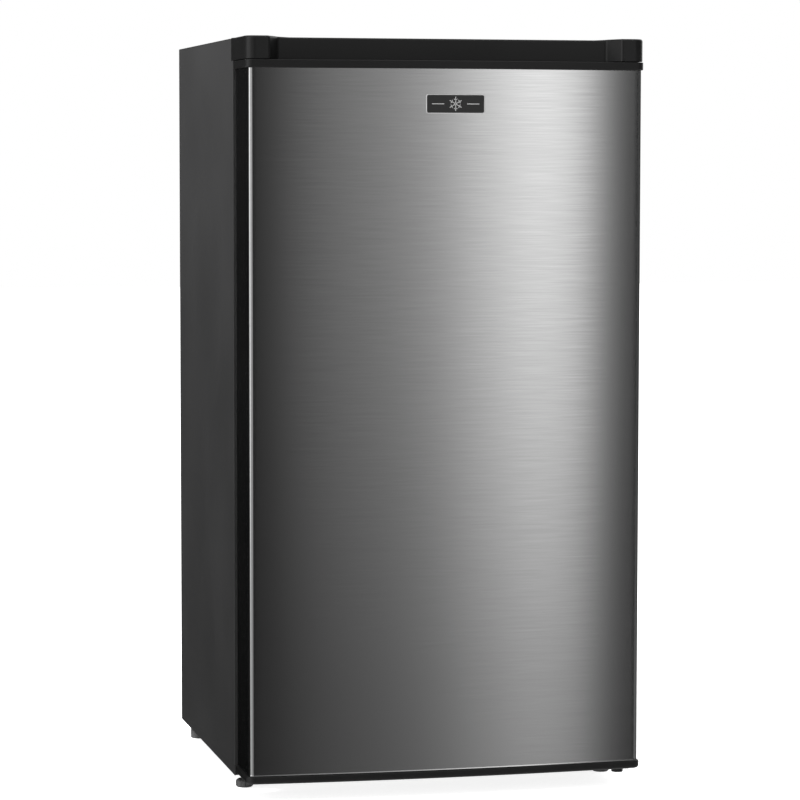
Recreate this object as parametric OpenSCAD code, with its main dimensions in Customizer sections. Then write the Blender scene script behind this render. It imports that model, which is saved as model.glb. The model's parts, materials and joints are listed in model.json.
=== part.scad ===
// Undercounter mini fridge with a bowed, steel-faced door, an ice box and a rear compressor.
// Millimetres. +Z up, the door faces -Y, origin on the floor under the middle of the bounding box.

/* [Cabinet] */
// Height from the floor to the top of the trim
overall_h = 850; // [830:5:880]
// Width of the cabinet over its side panels
cab_w = 452; // [440:2:480]
// Depth of the side panels
cab_d = 380; // [370:5:410]
// Height of the feet under the cabinet
foot_h = 16; // [14:1:20]
// Thickness of the insulated side walls
wall_t = 38; // [34:1:42]
// Thickness of the sheet steel
sheet_t = 0.8; // [0.6:0.1:1.2]
// Height of the compressor compartment
comp_h = 200; // [190:5:215]
// Depth of the compressor compartment
comp_d = 140; // [135:1:150]

/* [Door] */
// Thickness of the door at its side edges
door_t = 73; // [70:1:78]
// Gap behind the door that the gasket fills
door_gap = 14; // [13:1:16]
// How far the middle of the door bulges past its corners
door_bow = 9; // [6:1:12]
// Radius of the door's upright corners
corner_r = 7; // [5:1:9]
// Visible height of the end caps
cap_h = 8.8; // [7:0.1:11]
// Height of the trim above the door
trim_h = 24.5; // [22:0.5:28]
// How far the trim's middle stands back from its ears
trim_setback = 20; // [16:1:26]
// Largest opening angle of the door
door_open_deg = 130; // [90:5:130]

/* [Inside] */
// Thickness of the plastic liners
liner_t = 2; // [1.5:0.1:2.5]
// Thickness of the glass shelves
glass_t = 4; // [3:0.5:5]
// Wall thickness of the bins and the drawer
bin_t = 2.5; // [2:0.1:3]
// How far the drawer slides behind the closed door
drawer_travel = 38; // [20:1:40]

/* [Hidden] */

eps = 0.1;
slack = 0.2;                                   // gap between foam slabs and their neighbours
half_w = cab_w / 2;
cap_side = 2;                                  // end caps stand this far out at the sides
cap_front = 1;                                 // and this far out at the front
rear_proud = 15;                               // spacers behind the side panels
total_d = cap_front + door_bow + door_t + door_gap + cab_d + rear_proud;
front_y = -total_d / 2 + cap_front + door_bow + door_t + door_gap;
back_y = front_y + cab_d;
back_sheet_y = back_y - 12;                    // outer face of the inset back panel
base_z = foot_h;
top_z = overall_h;
trim_z = top_z - trim_h;                       // underside of the trim
comp_y = back_y - comp_d;                      // front of the compressor compartment
comp_top_z = base_z + comp_h;

// Door planes
door_rear_y = front_y - door_gap;
door_edge_y = door_rear_y - door_t;            // where the sides would meet the front, before the bow
door_z0 = base_z + 6;
door_z1 = trim_z - 1.5;
door_recess_y = door_rear_y - 31;              // face of the recess that takes the bins
dyke_y = front_y + 21;                         // rim that reaches into the cabinet
hinge_x = half_w - 14;
hinge_y = door_rear_y - 36;
hinge_pin_r = 4;

// Cavity of the cabinet
cav_x = half_w - wall_t - liner_t;
cav_z0 = base_z + 44;
cav_z1 = trim_z - 35.5;
cav_back_y = back_sheet_y - 41;
step_y = comp_y - 33;
step_z = comp_top_z + 34;
flange_x = cav_x + 10;                         // edge of the liner's front flange

dyke_x = cav_x - 6;
dyke_t = 20;
dyke_z0 = cav_z0 + 8;
dyke_z1 = cav_z1 - 8;
recess_x = dyke_x - dyke_t;
recess_z0 = dyke_z0 + 18;
recess_z1 = dyke_z1 - 18;

// Shelves, from the front edge to the rear wall
shelf_x = cav_x - 1.5;
shelf_y0 = front_y + 88;
shelf_y1 = cav_back_y - 6;
upper_shelf_z = 520;
lower_shelf_z = 392;
crisper_cover_z = step_z + 6;
ledge_x = 12;

// Ice box
ice_x = cav_x - 26;
ice_y0 = front_y + 97;
ice_y1 = cav_back_y - 22;
ice_z0 = cav_z1 - 108;
ice_z1 = cav_z1 - 10;
ice_t = 1.5;
tray_z = ice_z0 - 28;
flap_axis_y = ice_y0 - 10.2;
flap_axis_z = ice_z1 - 5;
flap_len = 98;
flap_x = ice_x - 8;
flap_pin_r = 2.5;

// Drawer
drawer_x = cav_x - 14;
drawer_y0 = front_y + 87;
drawer_y1 = step_y - 6;
drawer_h = 180;

// Thermostat and lamp housing on the right wall
stat_y0 = front_y + 110;
stat_y1 = stat_y0 + 120;
stat_z0 = 578;
stat_z1 = 642;
stat_depth = 34;
knob_y = stat_y0 + 30;
knob_z = (stat_z0 + stat_z1) / 2;
lamp_y = stat_y0 + 86;

// Compressor
gland_x = half_w - 70;
gland_z = base_z + 13;
pump_x = -25;
pump_y = comp_y + 72;
pump_r = 56;
pump_z0 = base_z + 14;
pump_h = 118;
base_plate_z = base_z + 1.6;

// Condenser
cond_y = back_y + 2;
cond_r = 2.4;
cond_x = 186;
cond_z0 = comp_top_z + 14;
cond_pitch = 42;
cond_runs = 14;

// Door bins: height of the floor, height of the front wall
bin_rows = [[recess_z0 + 8, 98], [330, 66], [520, 62]];
bin_x = recess_x - 4;
bin_front_y = front_y + 44;

foot_x = half_w - 14;
foot_front_y = front_y + 17;
foot_rear_y = front_y + 333;
foot_r = 10;
stud_r = 4;

badge_w = 67;
badge_h = 21.5;
badge_x = 6.5;
badge_z = 776.3;

// ---------- shared shapes ----------

// Box from its lowest to its highest corner
module span(a, b) {
    translate(a) cube([b[0] - a[0], b[1] - a[1], b[2] - a[2]]);
}

module mirror_x() {
    children();
    mirror([1, 0, 0]) children();
}

// Tray or box that is open on top
module open_box(a, b, t) {
    difference() {
        span(a, b);
        span([a[0] + t, a[1] + t, a[2] + t], [b[0] - t, b[1] - t, b[2] + 1]);
    }
}

function arc(c, r, a0, a1, n) =
    [for (i = [0:n]) let (a = a0 + (a1 - a0) * i / n) [c[0] + r * cos(a), c[1] + r * sin(a)]];

// The bowed front is an arc through the door's corners; w is the half width and d a distance inwards
function bow_r(w) = (w * w + door_bow * door_bow) / (2 * door_bow);
function bow_y(w, d, x) = door_edge_y - door_bow + d + bow_r(w) - sqrt(pow(bow_r(w), 2) - x * x);

// Front half of the door's plan outline, from the left side round the corners to the right side
function door_front(d, steps = 36) =
    let (
        w = half_w - d,
        r = corner_r - d > 1 ? corner_r - d : 1,
        big = bow_r(half_w),
        cy = door_edge_y - door_bow + big,
        cx = w - r,
        c_y = cy - sqrt(pow(big - d - r, 2) - cx * cx),
        tilt = asin(cx / (big - d - r))
    )
    concat(
        arc([-cx, c_y], r, 180, 270 - tilt, 6),
        [for (i = [1:steps - 1]) let (a = -tilt + 2 * tilt * i / steps)
            [(big - d) * sin(a), cy - (big - d) * cos(a)]],
        arc([cx, c_y], r, 270 + tilt, 360, 6)
    );

module door_outline(d, rear_y) {
    polygon(concat([[-half_w + d, rear_y]], door_front(d), [[half_w - d, rear_y]]));
}

module door_slab(d, rear_y, z0, z1) {
    translate([0, 0, z0]) linear_extrude(z1 - z0) door_outline(d, rear_y);
}

// Tube swept along points; up is a direction that the path never follows
function unit(v) = v / norm(v);
function ring(p, t, up, r, n) =
    let (a = unit(cross(t, up)), b = cross(t, a))
    [for (k = [0:n - 1]) p + r * cos(360 * k / n) * a + r * sin(360 * k / n) * b];
module swept_tube(path, up, r, sides = 8) {
    last = len(path) - 1;
    rings = [for (i = [0:last])
        ring(path[i], unit(path[min(i + 1, last)] - path[max(i - 1, 0)]), up, r, sides)];
    polyhedron(
        points = [for (q = rings) each q],
        faces = concat(
            [[for (k = [0:sides - 1]) k]],
            [for (i = [0:last - 1]) for (k = [0:sides - 1])
                [i * sides + k, (i + 1) * sides + k,
                 (i + 1) * sides + (k + 1) % sides, i * sides + (k + 1) % sides]],
            [[for (k = [sides - 1:-1:0]) last * sides + k]]
        )
    );
}

// ---------- cabinet ----------

module side_panel() {
    flange = 30;
    rear_flange = 10;
    span([half_w - sheet_t, front_y, base_z], [half_w, back_y, top_z - sheet_t - eps]);
    span([half_w - flange, front_y, base_z + 8], [half_w - sheet_t + eps, front_y + sheet_t, trim_z]);
    span([half_w - rear_flange, back_y - sheet_t, base_z],
         [half_w - sheet_t + eps, back_y, top_z - sheet_t - eps]);
}

module side_panel_left() {
    color("#3a3b3d") mirror([1, 0, 0]) side_panel();
}

module side_panel_right() {
    color("#3a3b3d") side_panel();
}

module top_panel() {
    color("#3a3b3d") {
        span([-half_w, front_y, top_z - sheet_t], [half_w, back_y, top_z]);
        span([-half_w + 2, front_y, trim_z + slack], [half_w - 2, front_y + sheet_t, top_z - sheet_t + eps]);
        span([-half_w + 30.2, front_y, cav_z1 + 10.2], [half_w - 30.2, front_y + sheet_t, trim_z + 1]);
        span([-half_w + 12, back_y - sheet_t, top_z - 13], [half_w - 12, back_y, top_z - sheet_t + eps]);
    }
}

module back_panel() {
    color("#8d9093")
    span([-half_w + 1.5, back_sheet_y - 0.6, comp_top_z + slack], [half_w - 1.5, back_sheet_y, top_z - 2]);
}

// Folded sheet that roofs and fronts the compressor compartment and closes the floor
module compartment_panel() {
    t = 0.8;
    x = half_w - 36.5;
    color("#8d9093") difference() {
        union() {
            span([-x, front_y + 27, base_z + 1], [x, comp_y + t, base_z + 1 + t]);
            span([-x, comp_y, base_z + 1], [x, comp_y + t, base_z + 30]);
            span([-half_w + 1.5, comp_y, base_z + 26], [half_w - 1.5, comp_y + t, comp_top_z]);
            span([-half_w + 1.5, comp_y, comp_top_z - t], [half_w - 1.5, back_sheet_y, comp_top_z]);
        }
        translate([60, comp_y + 70, comp_top_z - 2]) cylinder(r = 7.5, h = 4, $fn = 32);
    }
}

// Two upward channels that carry the compressor base, with weld nuts for the front feet
module base_rails() {
    rail_h = 24;
    wall = 1.5;
    x0 = half_w - 36;
    x1 = half_w - 1.5;
    color("#2b2c2e") mirror_x() difference() {
        union() {
            difference() {
                span([x0, front_y + 3, base_z], [x1, back_y - 2, base_z + rail_h]);
                span([x0 + wall, front_y + 3 + wall, base_z + wall],
                     [x1 - wall, back_y - 2 - wall, base_z + rail_h + 1]);
            }
            translate([foot_x, foot_front_y, base_z + wall - eps]) cylinder(r = 8, h = 7, $fn = 6);
        }
        for (y = [foot_front_y, foot_rear_y])
            translate([foot_x, y, base_z - 1]) cylinder(r = stud_r + 0.06, h = 12, $fn = 32);
    }
}

// Folded strip that closes the cabinet's front under the door opening
module front_crossbar() {
    color("#3a3b3d") {
        span([-half_w + 30.2, front_y, base_z + 8], [half_w - 30.2, front_y + sheet_t, cav_z0 - 10]);
        span([-half_w + 37, front_y + sheet_t - eps, base_z + 8],
            [half_w - 37, front_y + 26, base_z + 8 + sheet_t]);
    }
}

module foam_slab(x0, x1, y0, y1, z0, z1) {
    g = slack / 2;
    span([x0 + g, y0 + g, z0 + g], [x1 - g, y1 - g, z1 - g]);
}

module cabinet_foam() {
    skin = sheet_t + eps;
    in_x = cav_x + liner_t;
    out_x = half_w - skin;
    fy = front_y + liner_t;
    back = back_sheet_y - 0.6;
    in_z1 = cav_z1 + liner_t;
    in_back = cav_back_y + liner_t;
    rail_top = base_z + 24;
    drain_x0 = 50;
    drain_x1 = 70;
    color("#e8dfae") {
        mirror_x() {
            foam_slab(in_x, out_x, fy, back, comp_top_z, top_z - sheet_t);
            foam_slab(in_x, out_x, fy, comp_y, rail_top, comp_top_z);
        }
        foam_slab(-in_x, in_x, fy, back, in_z1, top_z - sheet_t);
        foam_slab(-in_x, in_x, in_back, back, comp_top_z, in_z1);
        foam_slab(-in_x, in_x, fy + 26, comp_y, base_z + 2, cav_z0 - liner_t);
        foam_slab(-in_x, in_x, fy, fy + 26, base_z + 9, cav_z0 - liner_t);
        foam_slab(-in_x, in_x, step_y + liner_t, comp_y, cav_z0 - liner_t, comp_top_z);
        foam_slab(-in_x, drain_x0, step_y + liner_t, in_back, comp_top_z, step_z - liner_t);
        foam_slab(drain_x1, in_x, step_y + liner_t, in_back, comp_top_z, step_z - liner_t);
    }
}

// Side view of the tub, grown outwards by d
module tub_profile(d, y0) {
    polygon([
        [y0, cav_z0 - d], [step_y + d, cav_z0 - d], [step_y + d, step_z - d],
        [cav_back_y + d, step_z - d], [cav_back_y + d, cav_z1 + d], [y0, cav_z1 + d]
    ]);
}

module tub(x, d, y0) {
    translate([-x, 0, 0]) rotate([90, 0, 90]) linear_extrude(2 * x) tub_profile(d, y0);
}

// White tub of the cabinet with ledges for the shelves
module inner_liner() {
    color("#f2f3f2") {
        difference() {
            union() {
                tub(cav_x + liner_t, liner_t, front_y);
                span([-flange_x, front_y, cav_z0 - 10], [flange_x, front_y + liner_t, cav_z1 + 10]);
            }
            tub(cav_x, 0, front_y - 1);
            translate([60, comp_y + 70, step_z - 4]) cylinder(r = 5, h = 6, $fn = 32);
        }
        mirror_x() for (z = [crisper_cover_z, lower_shelf_z, upper_shelf_z, tray_z])
            span([cav_x - ledge_x, shelf_y0 + 6, z - 8], [cav_x + eps, cav_back_y + eps, z - slack]);
    }
}

// Plan outline of the trim: ears at both ends, a middle that stands back
function trim_half(d) = [
    [half_w + 1.5 - d, front_y - eps],
    [half_w + 1.5 - d, door_edge_y + 12],
    each arc([half_w + 1.5 - 12, door_edge_y + 12], 12 - d, 360, 285, 6),
    [204 - d, door_edge_y - 1.2 + d],
    [197, door_edge_y + 3 + d],
    [188, door_edge_y + trim_setback - 6 + d],
    [178, door_edge_y + trim_setback - 1.5 + d],
    [160, door_edge_y + trim_setback + d]
];
module trim_outline(d) {
    half = trim_half(d);
    polygon(concat(half, [for (i = [len(half) - 1:-1:0]) [-half[i][0], half[i][1]]]));
}

// Hood over the door's top edge that hides the upper hinge
module top_trim() {
    wall = 2.5;
    color("#1b1b1c") difference() {
        translate([0, 0, trim_z]) linear_extrude(trim_h) trim_outline(0);
        translate([0, 0, trim_z - 1]) linear_extrude(trim_h - wall + 1) trim_outline(wall);
        span([-186, door_edge_y - 10, top_z - 1], [186, front_y - 12, top_z + 1]);
    }
}

// ---------- hinges and feet ----------

module top_hinge_bracket() {
    t = 2.5;
    z = trim_z + 3;
    color("#9a9c9f") {
        difference() {
            union() {
                span([hinge_x - 44, front_y - t - eps, z], [hinge_x + 8, front_y - eps, top_z - 4]);
                span([hinge_x - 12, hinge_y - 12, z], [hinge_x + 8, front_y - eps, z + t]);
            }
            for (dx = [-38, -14])
                translate([hinge_x + dx, front_y + 1, z + 11]) rotate([90, 0, 0])
                    cylinder(r = 2.6, h = 6, $fn = 32);
        }
        translate([hinge_x, hinge_y, door_z1 - 16]) cylinder(r = hinge_pin_r, h = z - door_z1 + 17, $fn = 48);
    }
}

module bottom_hinge_bracket() {
    t = 2.5;
    z = base_z + 1;
    color("#1f2021") {
        difference() {
            union() {
                span([hinge_x - 46, front_y - t - eps, z], [hinge_x + 10, front_y - eps, z + 18]);
                span([hinge_x - 46, front_y - 30, z], [hinge_x + 10, front_y - eps, z + t]);
                span([hinge_x - 14, hinge_y - 13, z], [hinge_x + 10, front_y - 20, z + t]);
            }
            for (dx = [-38, -14])
                translate([hinge_x + dx, front_y + 1, z + 11]) rotate([90, 0, 0])
                    cylinder(r = 2.6, h = 6, $fn = 32);
        }
        translate([hinge_x, hinge_y, z - 5]) cylinder(r = 7, h = 5 + eps, $fn = 6);
        translate([hinge_x, hinge_y, z]) cylinder(r = hinge_pin_r, h = door_z0 - z + 18, $fn = 48);
    }
}

module panhead_screw(len_mm) {
    cylinder(r = 2.4, h = len_mm, $fn = 24);
    translate([0, 0, -2.2]) difference() {
        cylinder(r = 4.4, h = 2.2, $fn = 32);
        for (a = [0, 90]) rotate(a) translate([-2.6, -0.5, -1]) cube([5.2, 1, 2]);
    }
}

module hinge_screws() {
    color("#b9bbbd") for (dx = [-38, -14]) {
        translate([hinge_x + dx, front_y - 2.7, trim_z + 14]) rotate([-90, 0, 0]) panhead_screw(2.4);
        translate([hinge_x + dx, front_y - 2.7, base_z + 12]) rotate([-90, 0, 0]) panhead_screw(2.4);
    }
}

// Levelling foot: ribbed pad with a threaded stud
module levelling_foot() {
    color("#4a4b4d") {
        difference() {
            rotate_extrude($fn = 64) polygon([
                [0, 0], [foot_r - 1.5, 0], [foot_r, 1.5], [foot_r, 7], [foot_r - 2.5, 9], [0, 9]
            ]);
            for (a = [0:30:330]) rotate(a) translate([foot_r + 0.6, 0, 1.6])
                cylinder(r = 1.2, h = 8, $fn = 16);
        }
        translate([0, 0, 9 - eps]) cylinder(r = stud_r, h = base_z + 10, $fn = 32);
    }
}

module front_foot_left() {
    translate([-foot_x, foot_front_y, 0]) levelling_foot();
}

module front_foot_right() {
    translate([foot_x, foot_front_y, 0]) levelling_foot();
}

module rear_feet() {
    color("#3d3e40") mirror_x() translate([foot_x, foot_rear_y, 0]) {
        rotate_extrude($fn = 64) polygon([
            [0, 0], [foot_r - 1, 0], [foot_r, 1], [foot_r, base_z - 3],
            [foot_r - 2, base_z - slack], [0, base_z - slack]
        ]);
        translate([0, 0, base_z - 1]) cylinder(r = stud_r - 0.2, h = 10, $fn = 32);
    }
}

// ---------- shelves and drawer ----------

module glass_shelf(z, y1) {
    color([0.75, 0.88, 0.86, 0.4]) span([-shelf_x, shelf_y0 + 3, z], [shelf_x, y1 - 3, z + glass_t]);
}

// Grooved plastic strips along the front and rear edges of a glass shelf
module shelf_trims(z, y1) {
    lip = 2;
    front_h = 14;
    color("#eceeee") {
        difference() {
            span([-shelf_x, shelf_y0 - 2, z - 4], [shelf_x, shelf_y0 + 12, z - 4 + front_h]);
            span([-shelf_x - 1, shelf_y0 + 3 - eps, z - eps],
                [shelf_x + 1, shelf_y0 + 13, z + glass_t + eps]);
            span([-shelf_x - 1, shelf_y0 + lip, z + glass_t + lip],
                [shelf_x + 1, shelf_y0 + 13, z + 20]);
            mirror_x() span([cav_x - ledge_x - 1, shelf_y0 + 5, z - 9], [shelf_x + 1, shelf_y0 + 13, z]);
        }
        difference() {
            span([-cav_x + ledge_x + 1, y1 - 12, z - 3], [cav_x - ledge_x - 1, y1, z + 12]);
            span([-shelf_x, y1 - 13, z - eps], [shelf_x, y1 - 3 + eps, z + glass_t + eps]);
        }
    }
}

module upper_shelf_glass() { glass_shelf(upper_shelf_z, shelf_y1); }
module upper_shelf_trim() { shelf_trims(upper_shelf_z, shelf_y1); }
module lower_shelf_glass() { glass_shelf(lower_shelf_z, shelf_y1); }
module lower_shelf_trim() { shelf_trims(lower_shelf_z, shelf_y1); }
module crisper_cover_glass() { glass_shelf(crisper_cover_z, shelf_y1); }
module crisper_cover_trim() { shelf_trims(crisper_cover_z, shelf_y1); }

// Vegetable drawer with a grip along its top front edge
module crisper_drawer() {
    z0 = cav_z0 + 0.6;
    z1 = z0 + drawer_h;
    color([0.93, 0.95, 0.96, 0.6]) {
        open_box([-drawer_x, drawer_y0, z0], [drawer_x, drawer_y1, z1], bin_t);
        span([-drawer_x - 3, drawer_y0 - 2, z1 - 4], [-drawer_x + eps, drawer_y1, z1]);
        span([drawer_x - eps, drawer_y0 - 2, z1 - 4], [drawer_x + 3, drawer_y1, z1]);
        difference() {
            span([-70, drawer_y0 - 14, z1 - 30], [70, drawer_y0 + eps, z1 - 4]);
            span([-67, drawer_y0 - 11, z1 - 31], [67, drawer_y0 - eps, z1 - 8]);
        }
    }
}

// ---------- ice box ----------

// Roll-bonded aluminium evaporator with raised refrigerant channels on its side walls and top
module ice_box() {
    color("#dfe3e6") {
        difference() {
            span([-ice_x, ice_y0, ice_z0], [ice_x, ice_y1, ice_z1]);
            span([-ice_x + ice_t, ice_y0 - 1, ice_z0 + ice_t],
                [ice_x - ice_t, ice_y1 - ice_t, ice_z1 - ice_t]);
        }
        for (y = [ice_y0 + 22 : 26 : ice_y1 - 20])
            span([-ice_x + 16, y, ice_z0 - 1.2], [ice_x - 16, y + 6, ice_z0 + eps]);
    }
}

module ice_box_frame() {
    t = 6;
    open_x = ice_x - 14;
    color("#f2f3f2") {
        difference() {
            span([-cav_x + 8, ice_y0 - t, ice_z0 - 12], [cav_x - 8, ice_y0 - slack, cav_z1 - 1]);
            span([-open_x, ice_y0 - t - 1, ice_z0 + 7], [open_x, ice_y0 + 1, ice_z1 - 9]);
        }
        mirror_x() difference() {
            span([flap_x + 0.6, flap_axis_y - 5, flap_axis_z - 5],
                [flap_x + 6, ice_y0 - t + eps, flap_axis_z + 5]);
            translate([flap_x, flap_axis_y, flap_axis_z]) rotate([0, 90, 0])
                cylinder(r = flap_pin_r + 0.06, h = 8, $fn = 32);
        }
    }
}

// Flap that lifts about pins at its top edge
module ice_box_flap() {
    t = 5;
    color([0.92, 0.95, 0.97, 0.85]) {
        span([-flap_x, flap_axis_y - t / 2, flap_axis_z - flap_len],
            [flap_x, flap_axis_y + t / 2, flap_axis_z]);
        translate([-flap_x, flap_axis_y, flap_axis_z]) rotate([0, 90, 0])
            cylinder(r = 3.6, h = 2 * flap_x, $fn = 32);
        translate([-flap_x - 5.5, flap_axis_y, flap_axis_z]) rotate([0, 90, 0])
            cylinder(r = flap_pin_r, h = 2 * flap_x + 11, $fn = 32);
        span([-45, flap_axis_y - t / 2 - 8, flap_axis_z - flap_len + 8],
            [45, flap_axis_y, flap_axis_z - flap_len + 12]);
    }
}

// Spacers that hang the ice box from the ceiling
module ice_box_hangers() {
    color("#f2f3f2") mirror_x() for (y = [ice_y0 + 30, ice_y1 - 30])
        translate([ice_x - 30, y, ice_z1 + eps]) cylinder(r = 7, h = cav_z1 - ice_z1 - 2 * eps, $fn = 32);
}

module drip_tray() {
    color([0.9, 0.93, 0.95, 0.7])
    open_box([-cav_x + 6, ice_y0 + 4, tray_z], [cav_x - 6, ice_y1 - 4, tray_z + 18], 2);
}

// ---------- thermostat, lamp and switch ----------

module thermostat_housing() {
    x0 = cav_x - stat_depth;
    color("#f2f3f2") difference() {
        span([x0, stat_y0, stat_z0], [cav_x - eps, stat_y1, stat_z1]);
        span([x0 + 2, stat_y0 + 2, stat_z0 + 2], [cav_x + 1, stat_y1 - 2, stat_z1 - 2]);
        translate([x0 - 1, knob_y, knob_z]) rotate([0, 90, 0]) cylinder(r = 6, h = 4, $fn = 32);
        span([x0 - 1, lamp_y - 26, stat_z0 + 10], [x0 + 4, lamp_y + 26, stat_z1 - 10]);
    }
}

// Gas-filled thermostat switch behind the knob
module thermostat_control() {
    color("#b9bbbd") difference() {
        union() {
            span([cav_x - 24, knob_y - 16, knob_z - 13], [cav_x - 4, knob_y + 16, knob_z + 13]);
            translate([cav_x - 30, knob_y, knob_z]) rotate([0, 90, 0]) cylinder(r = 5, h = 7, $fn = 32);
        }
        translate([cav_x - 31, knob_y, knob_z]) rotate([0, 90, 0]) cylinder(r = 3.05, h = 15, $fn = 32);
    }
}

module thermostat_knob() {
    x0 = cav_x - stat_depth;
    color("#e9ebec") {
        difference() {
            translate([x0 - 11, knob_y, knob_z]) rotate([0, 90, 0]) cylinder(r = 17, h = 10, $fn = 64);
            for (a = [0:20:340]) translate([x0 - 12, knob_y, knob_z]) rotate([a, 0, 0])
                translate([0, 0, 17.6]) rotate([0, 90, 0]) cylinder(r = 1.4, h = 12, $fn = 16);
        }
        translate([x0 - 13, knob_y - 1.2, knob_z + 2]) cube([2 + eps, 2.4, 13]);
        translate([x0 - 2, knob_y, knob_z]) rotate([0, 90, 0]) cylinder(r = 3, h = stat_depth - 18, $fn = 32);
    }
}

module lamp_holder() {
    color("#f7f5ee") translate([cav_x - 15, lamp_y - 22, knob_z]) rotate([-90, 0, 0]) difference() {
        cylinder(r = 9, h = 14, $fn = 48);
        translate([0, 0, 3]) cylinder(r = 7, h = 12, $fn = 48);
    }
}

module lamp_bulb() {
    color([1, 0.97, 0.85, 0.6]) translate([cav_x - 15, lamp_y - 18, knob_z]) rotate([-90, 0, 0]) {
        cylinder(r = 6.4, h = 12, $fn = 48);
        translate([0, 0, 12 - eps]) cylinder(r1 = 6.4, r2 = 9, h = 6, $fn = 48);
        translate([0, 0, 22]) sphere(r = 9.8, $fn = 48);
    }
}

module lamp_lens() {
    x0 = cav_x - stat_depth;
    color([0.97, 0.98, 1, 0.5]) difference() {
        span([x0 - 1.5, lamp_y - 25.5, stat_z0 + 10.5], [x0 + 2, lamp_y + 25.5, stat_z1 - 10.5]);
        for (z = [stat_z0 + 14 : 5 : stat_z1 - 14])
            span([x0 - 2, lamp_y - 22, z], [x0 - 0.7, lamp_y + 22, z + 2.5]);
    }
}

switch_x = dyke_x - 10;
switch_z = 700;
module door_switch_housing() {
    color("#f2f3f2") difference() {
        span([cav_x - 24, dyke_y + 6, switch_z - 9], [cav_x - slack, dyke_y + 46, switch_z + 9]);
        translate([switch_x, dyke_y + 5, switch_z]) rotate([-90, 0, 0]) cylinder(r = 4.3, h = 28, $fn = 32);
    }
}

module door_switch_plunger() {
    color("#f7f7f5") translate([switch_x, dyke_y + 0.5, switch_z]) rotate([-90, 0, 0])
        cylinder(r = 4, h = 24, $fn = 32);
}

// ---------- compressor compartment ----------

module compressor_base() {
    x = half_w - 36.5;
    y0 = comp_y + 2;
    y1 = back_y - 4;
    z = base_plate_z;
    color("#2b2c2e") difference() {
        union() {
            span([-x, y0, z], [x, y1, z + 1.6]);
            span([-x, y0, z], [x, y0 + 1.6, z + 14]);
            span([-x, y1 - 1.6, z], [x, y1, z + 22]);
        }
        translate([gland_x, y1 - 3, gland_z]) rotate([-90, 0, 0]) cylinder(r = 6.6, h = 5, $fn = 48);
        for (sx = [-1, 1]) for (sy = [-1, 1])
            translate([pump_x + sx * 70, pump_y + sy * 45, z - 1]) cylinder(r = 3.2, h = 4, $fn = 32);
    }
}

// Welded steel pot with a seam round its middle, stub pipes and a foot plate
module compressor() {
    z1 = pump_z0 + pump_h;
    seam = pump_z0 + 62;
    plate_z = pump_z0 - 5.2;
    color("#161617") translate([pump_x, pump_y, 0]) {
        difference() {
            span([-80, -54, plate_z], [80, 54, plate_z + 3]);
            for (sx = [-1, 1]) for (sy = [-1, 1])
                translate([sx * 70, sy * 45, plate_z - 1]) cylinder(r = 5, h = 6, $fn = 32);
        }
        translate([0, 0, plate_z + 3 - eps]) cylinder(r = 34, h = 2.2 + 2 * eps, $fn = 64);
        rotate_extrude($fn = 96) polygon(concat(
            [[0, pump_z0], [pump_r - 14, pump_z0]],
            arc([pump_r - 14, pump_z0 + 14], 14, -80, 0, 6),
            [[pump_r, seam - 3], [pump_r + 4, seam - 2], [pump_r + 4, seam + 2], [pump_r, seam + 3]],
            [[pump_r, z1 - 30]],
            arc([pump_r - 30, z1 - 30], 30, 10, 80, 7),
            [[pump_r - 30, z1], [0, z1]]
        ));
        for (a = [200, 235, 320]) rotate(a) translate([pump_r - 4, 0, pump_z0 + 44])
            rotate([0, 90, 0]) cylinder(r = 3.5, h = 16, $fn = 24);
    }
}

module compressor_grommets() {
    z = base_plate_z + 1.6;
    h = pump_z0 - 5.2 - z;
    color("#242424") for (sx = [-1, 1]) for (sy = [-1, 1])
        translate([pump_x + sx * 70, pump_y + sy * 45, z + eps / 2]) difference() {
            union() {
                cylinder(r = 8, h = h - eps, $fn = 32);
                cylinder(r = 4.9, h = h + 6, $fn = 32);
            }
            translate([0, 0, -1]) cylinder(r = 3.2, h = 30, $fn = 32);
        }
}

module terminal_cover() {
    color("#202123") difference() {
        span([pump_x + pump_r + 4.2, pump_y - 30, pump_z0 + 6],
             [pump_x + pump_r + 44, pump_y + 28, pump_z0 + 74]);
        translate([pump_x + pump_r + 43, pump_y + 6, pump_z0 + 24]) rotate([0, 90, 0])
            cylinder(r = 5, h = 4, $fn = 32);
    }
}

// Rubber gland for the supply lead in the rear edge of the compartment
module cord_gland() {
    color("#111112") translate([gland_x, back_y - 8.8, gland_z]) rotate([-90, 0, 0]) difference() {
        union() {
            cylinder(r = 9, h = 3, $fn = 48);
            cylinder(r = 6.5, h = 11, $fn = 48);
        }
        translate([0, 0, -1]) cylinder(r = 3.6, h = 14, $fn = 32);
    }
}

module evaporation_tray() {
    z = pump_z0 + pump_h + 1;
    color("#1d1e1f") {
        open_box([pump_x - 62, pump_y - 50, z], [pump_x + 104, pump_y + 50, z + 30], 2);
    }
}

module drain_tube() {
    color("#e6e6e2") translate([60, comp_y + 70, comp_top_z - 26]) difference() {
        cylinder(r = 5.5, h = step_z - liner_t - comp_top_z + 26 - slack, $fn = 32);
        translate([0, 0, -1]) cylinder(r = 4, h = 90, $fn = 32);
    }
}

drier_x = -half_w + 30;
drier_y = back_y - 50;
module filter_drier() {
    color("#b87333") translate([drier_x, drier_y, base_z + 70]) rotate_extrude($fn = 48) polygon([
        [0, 0], [3, 0], [3, 8], [9, 18], [9, 78], [3, 88], [3, 96], [0, 96]
    ]);
}

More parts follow.
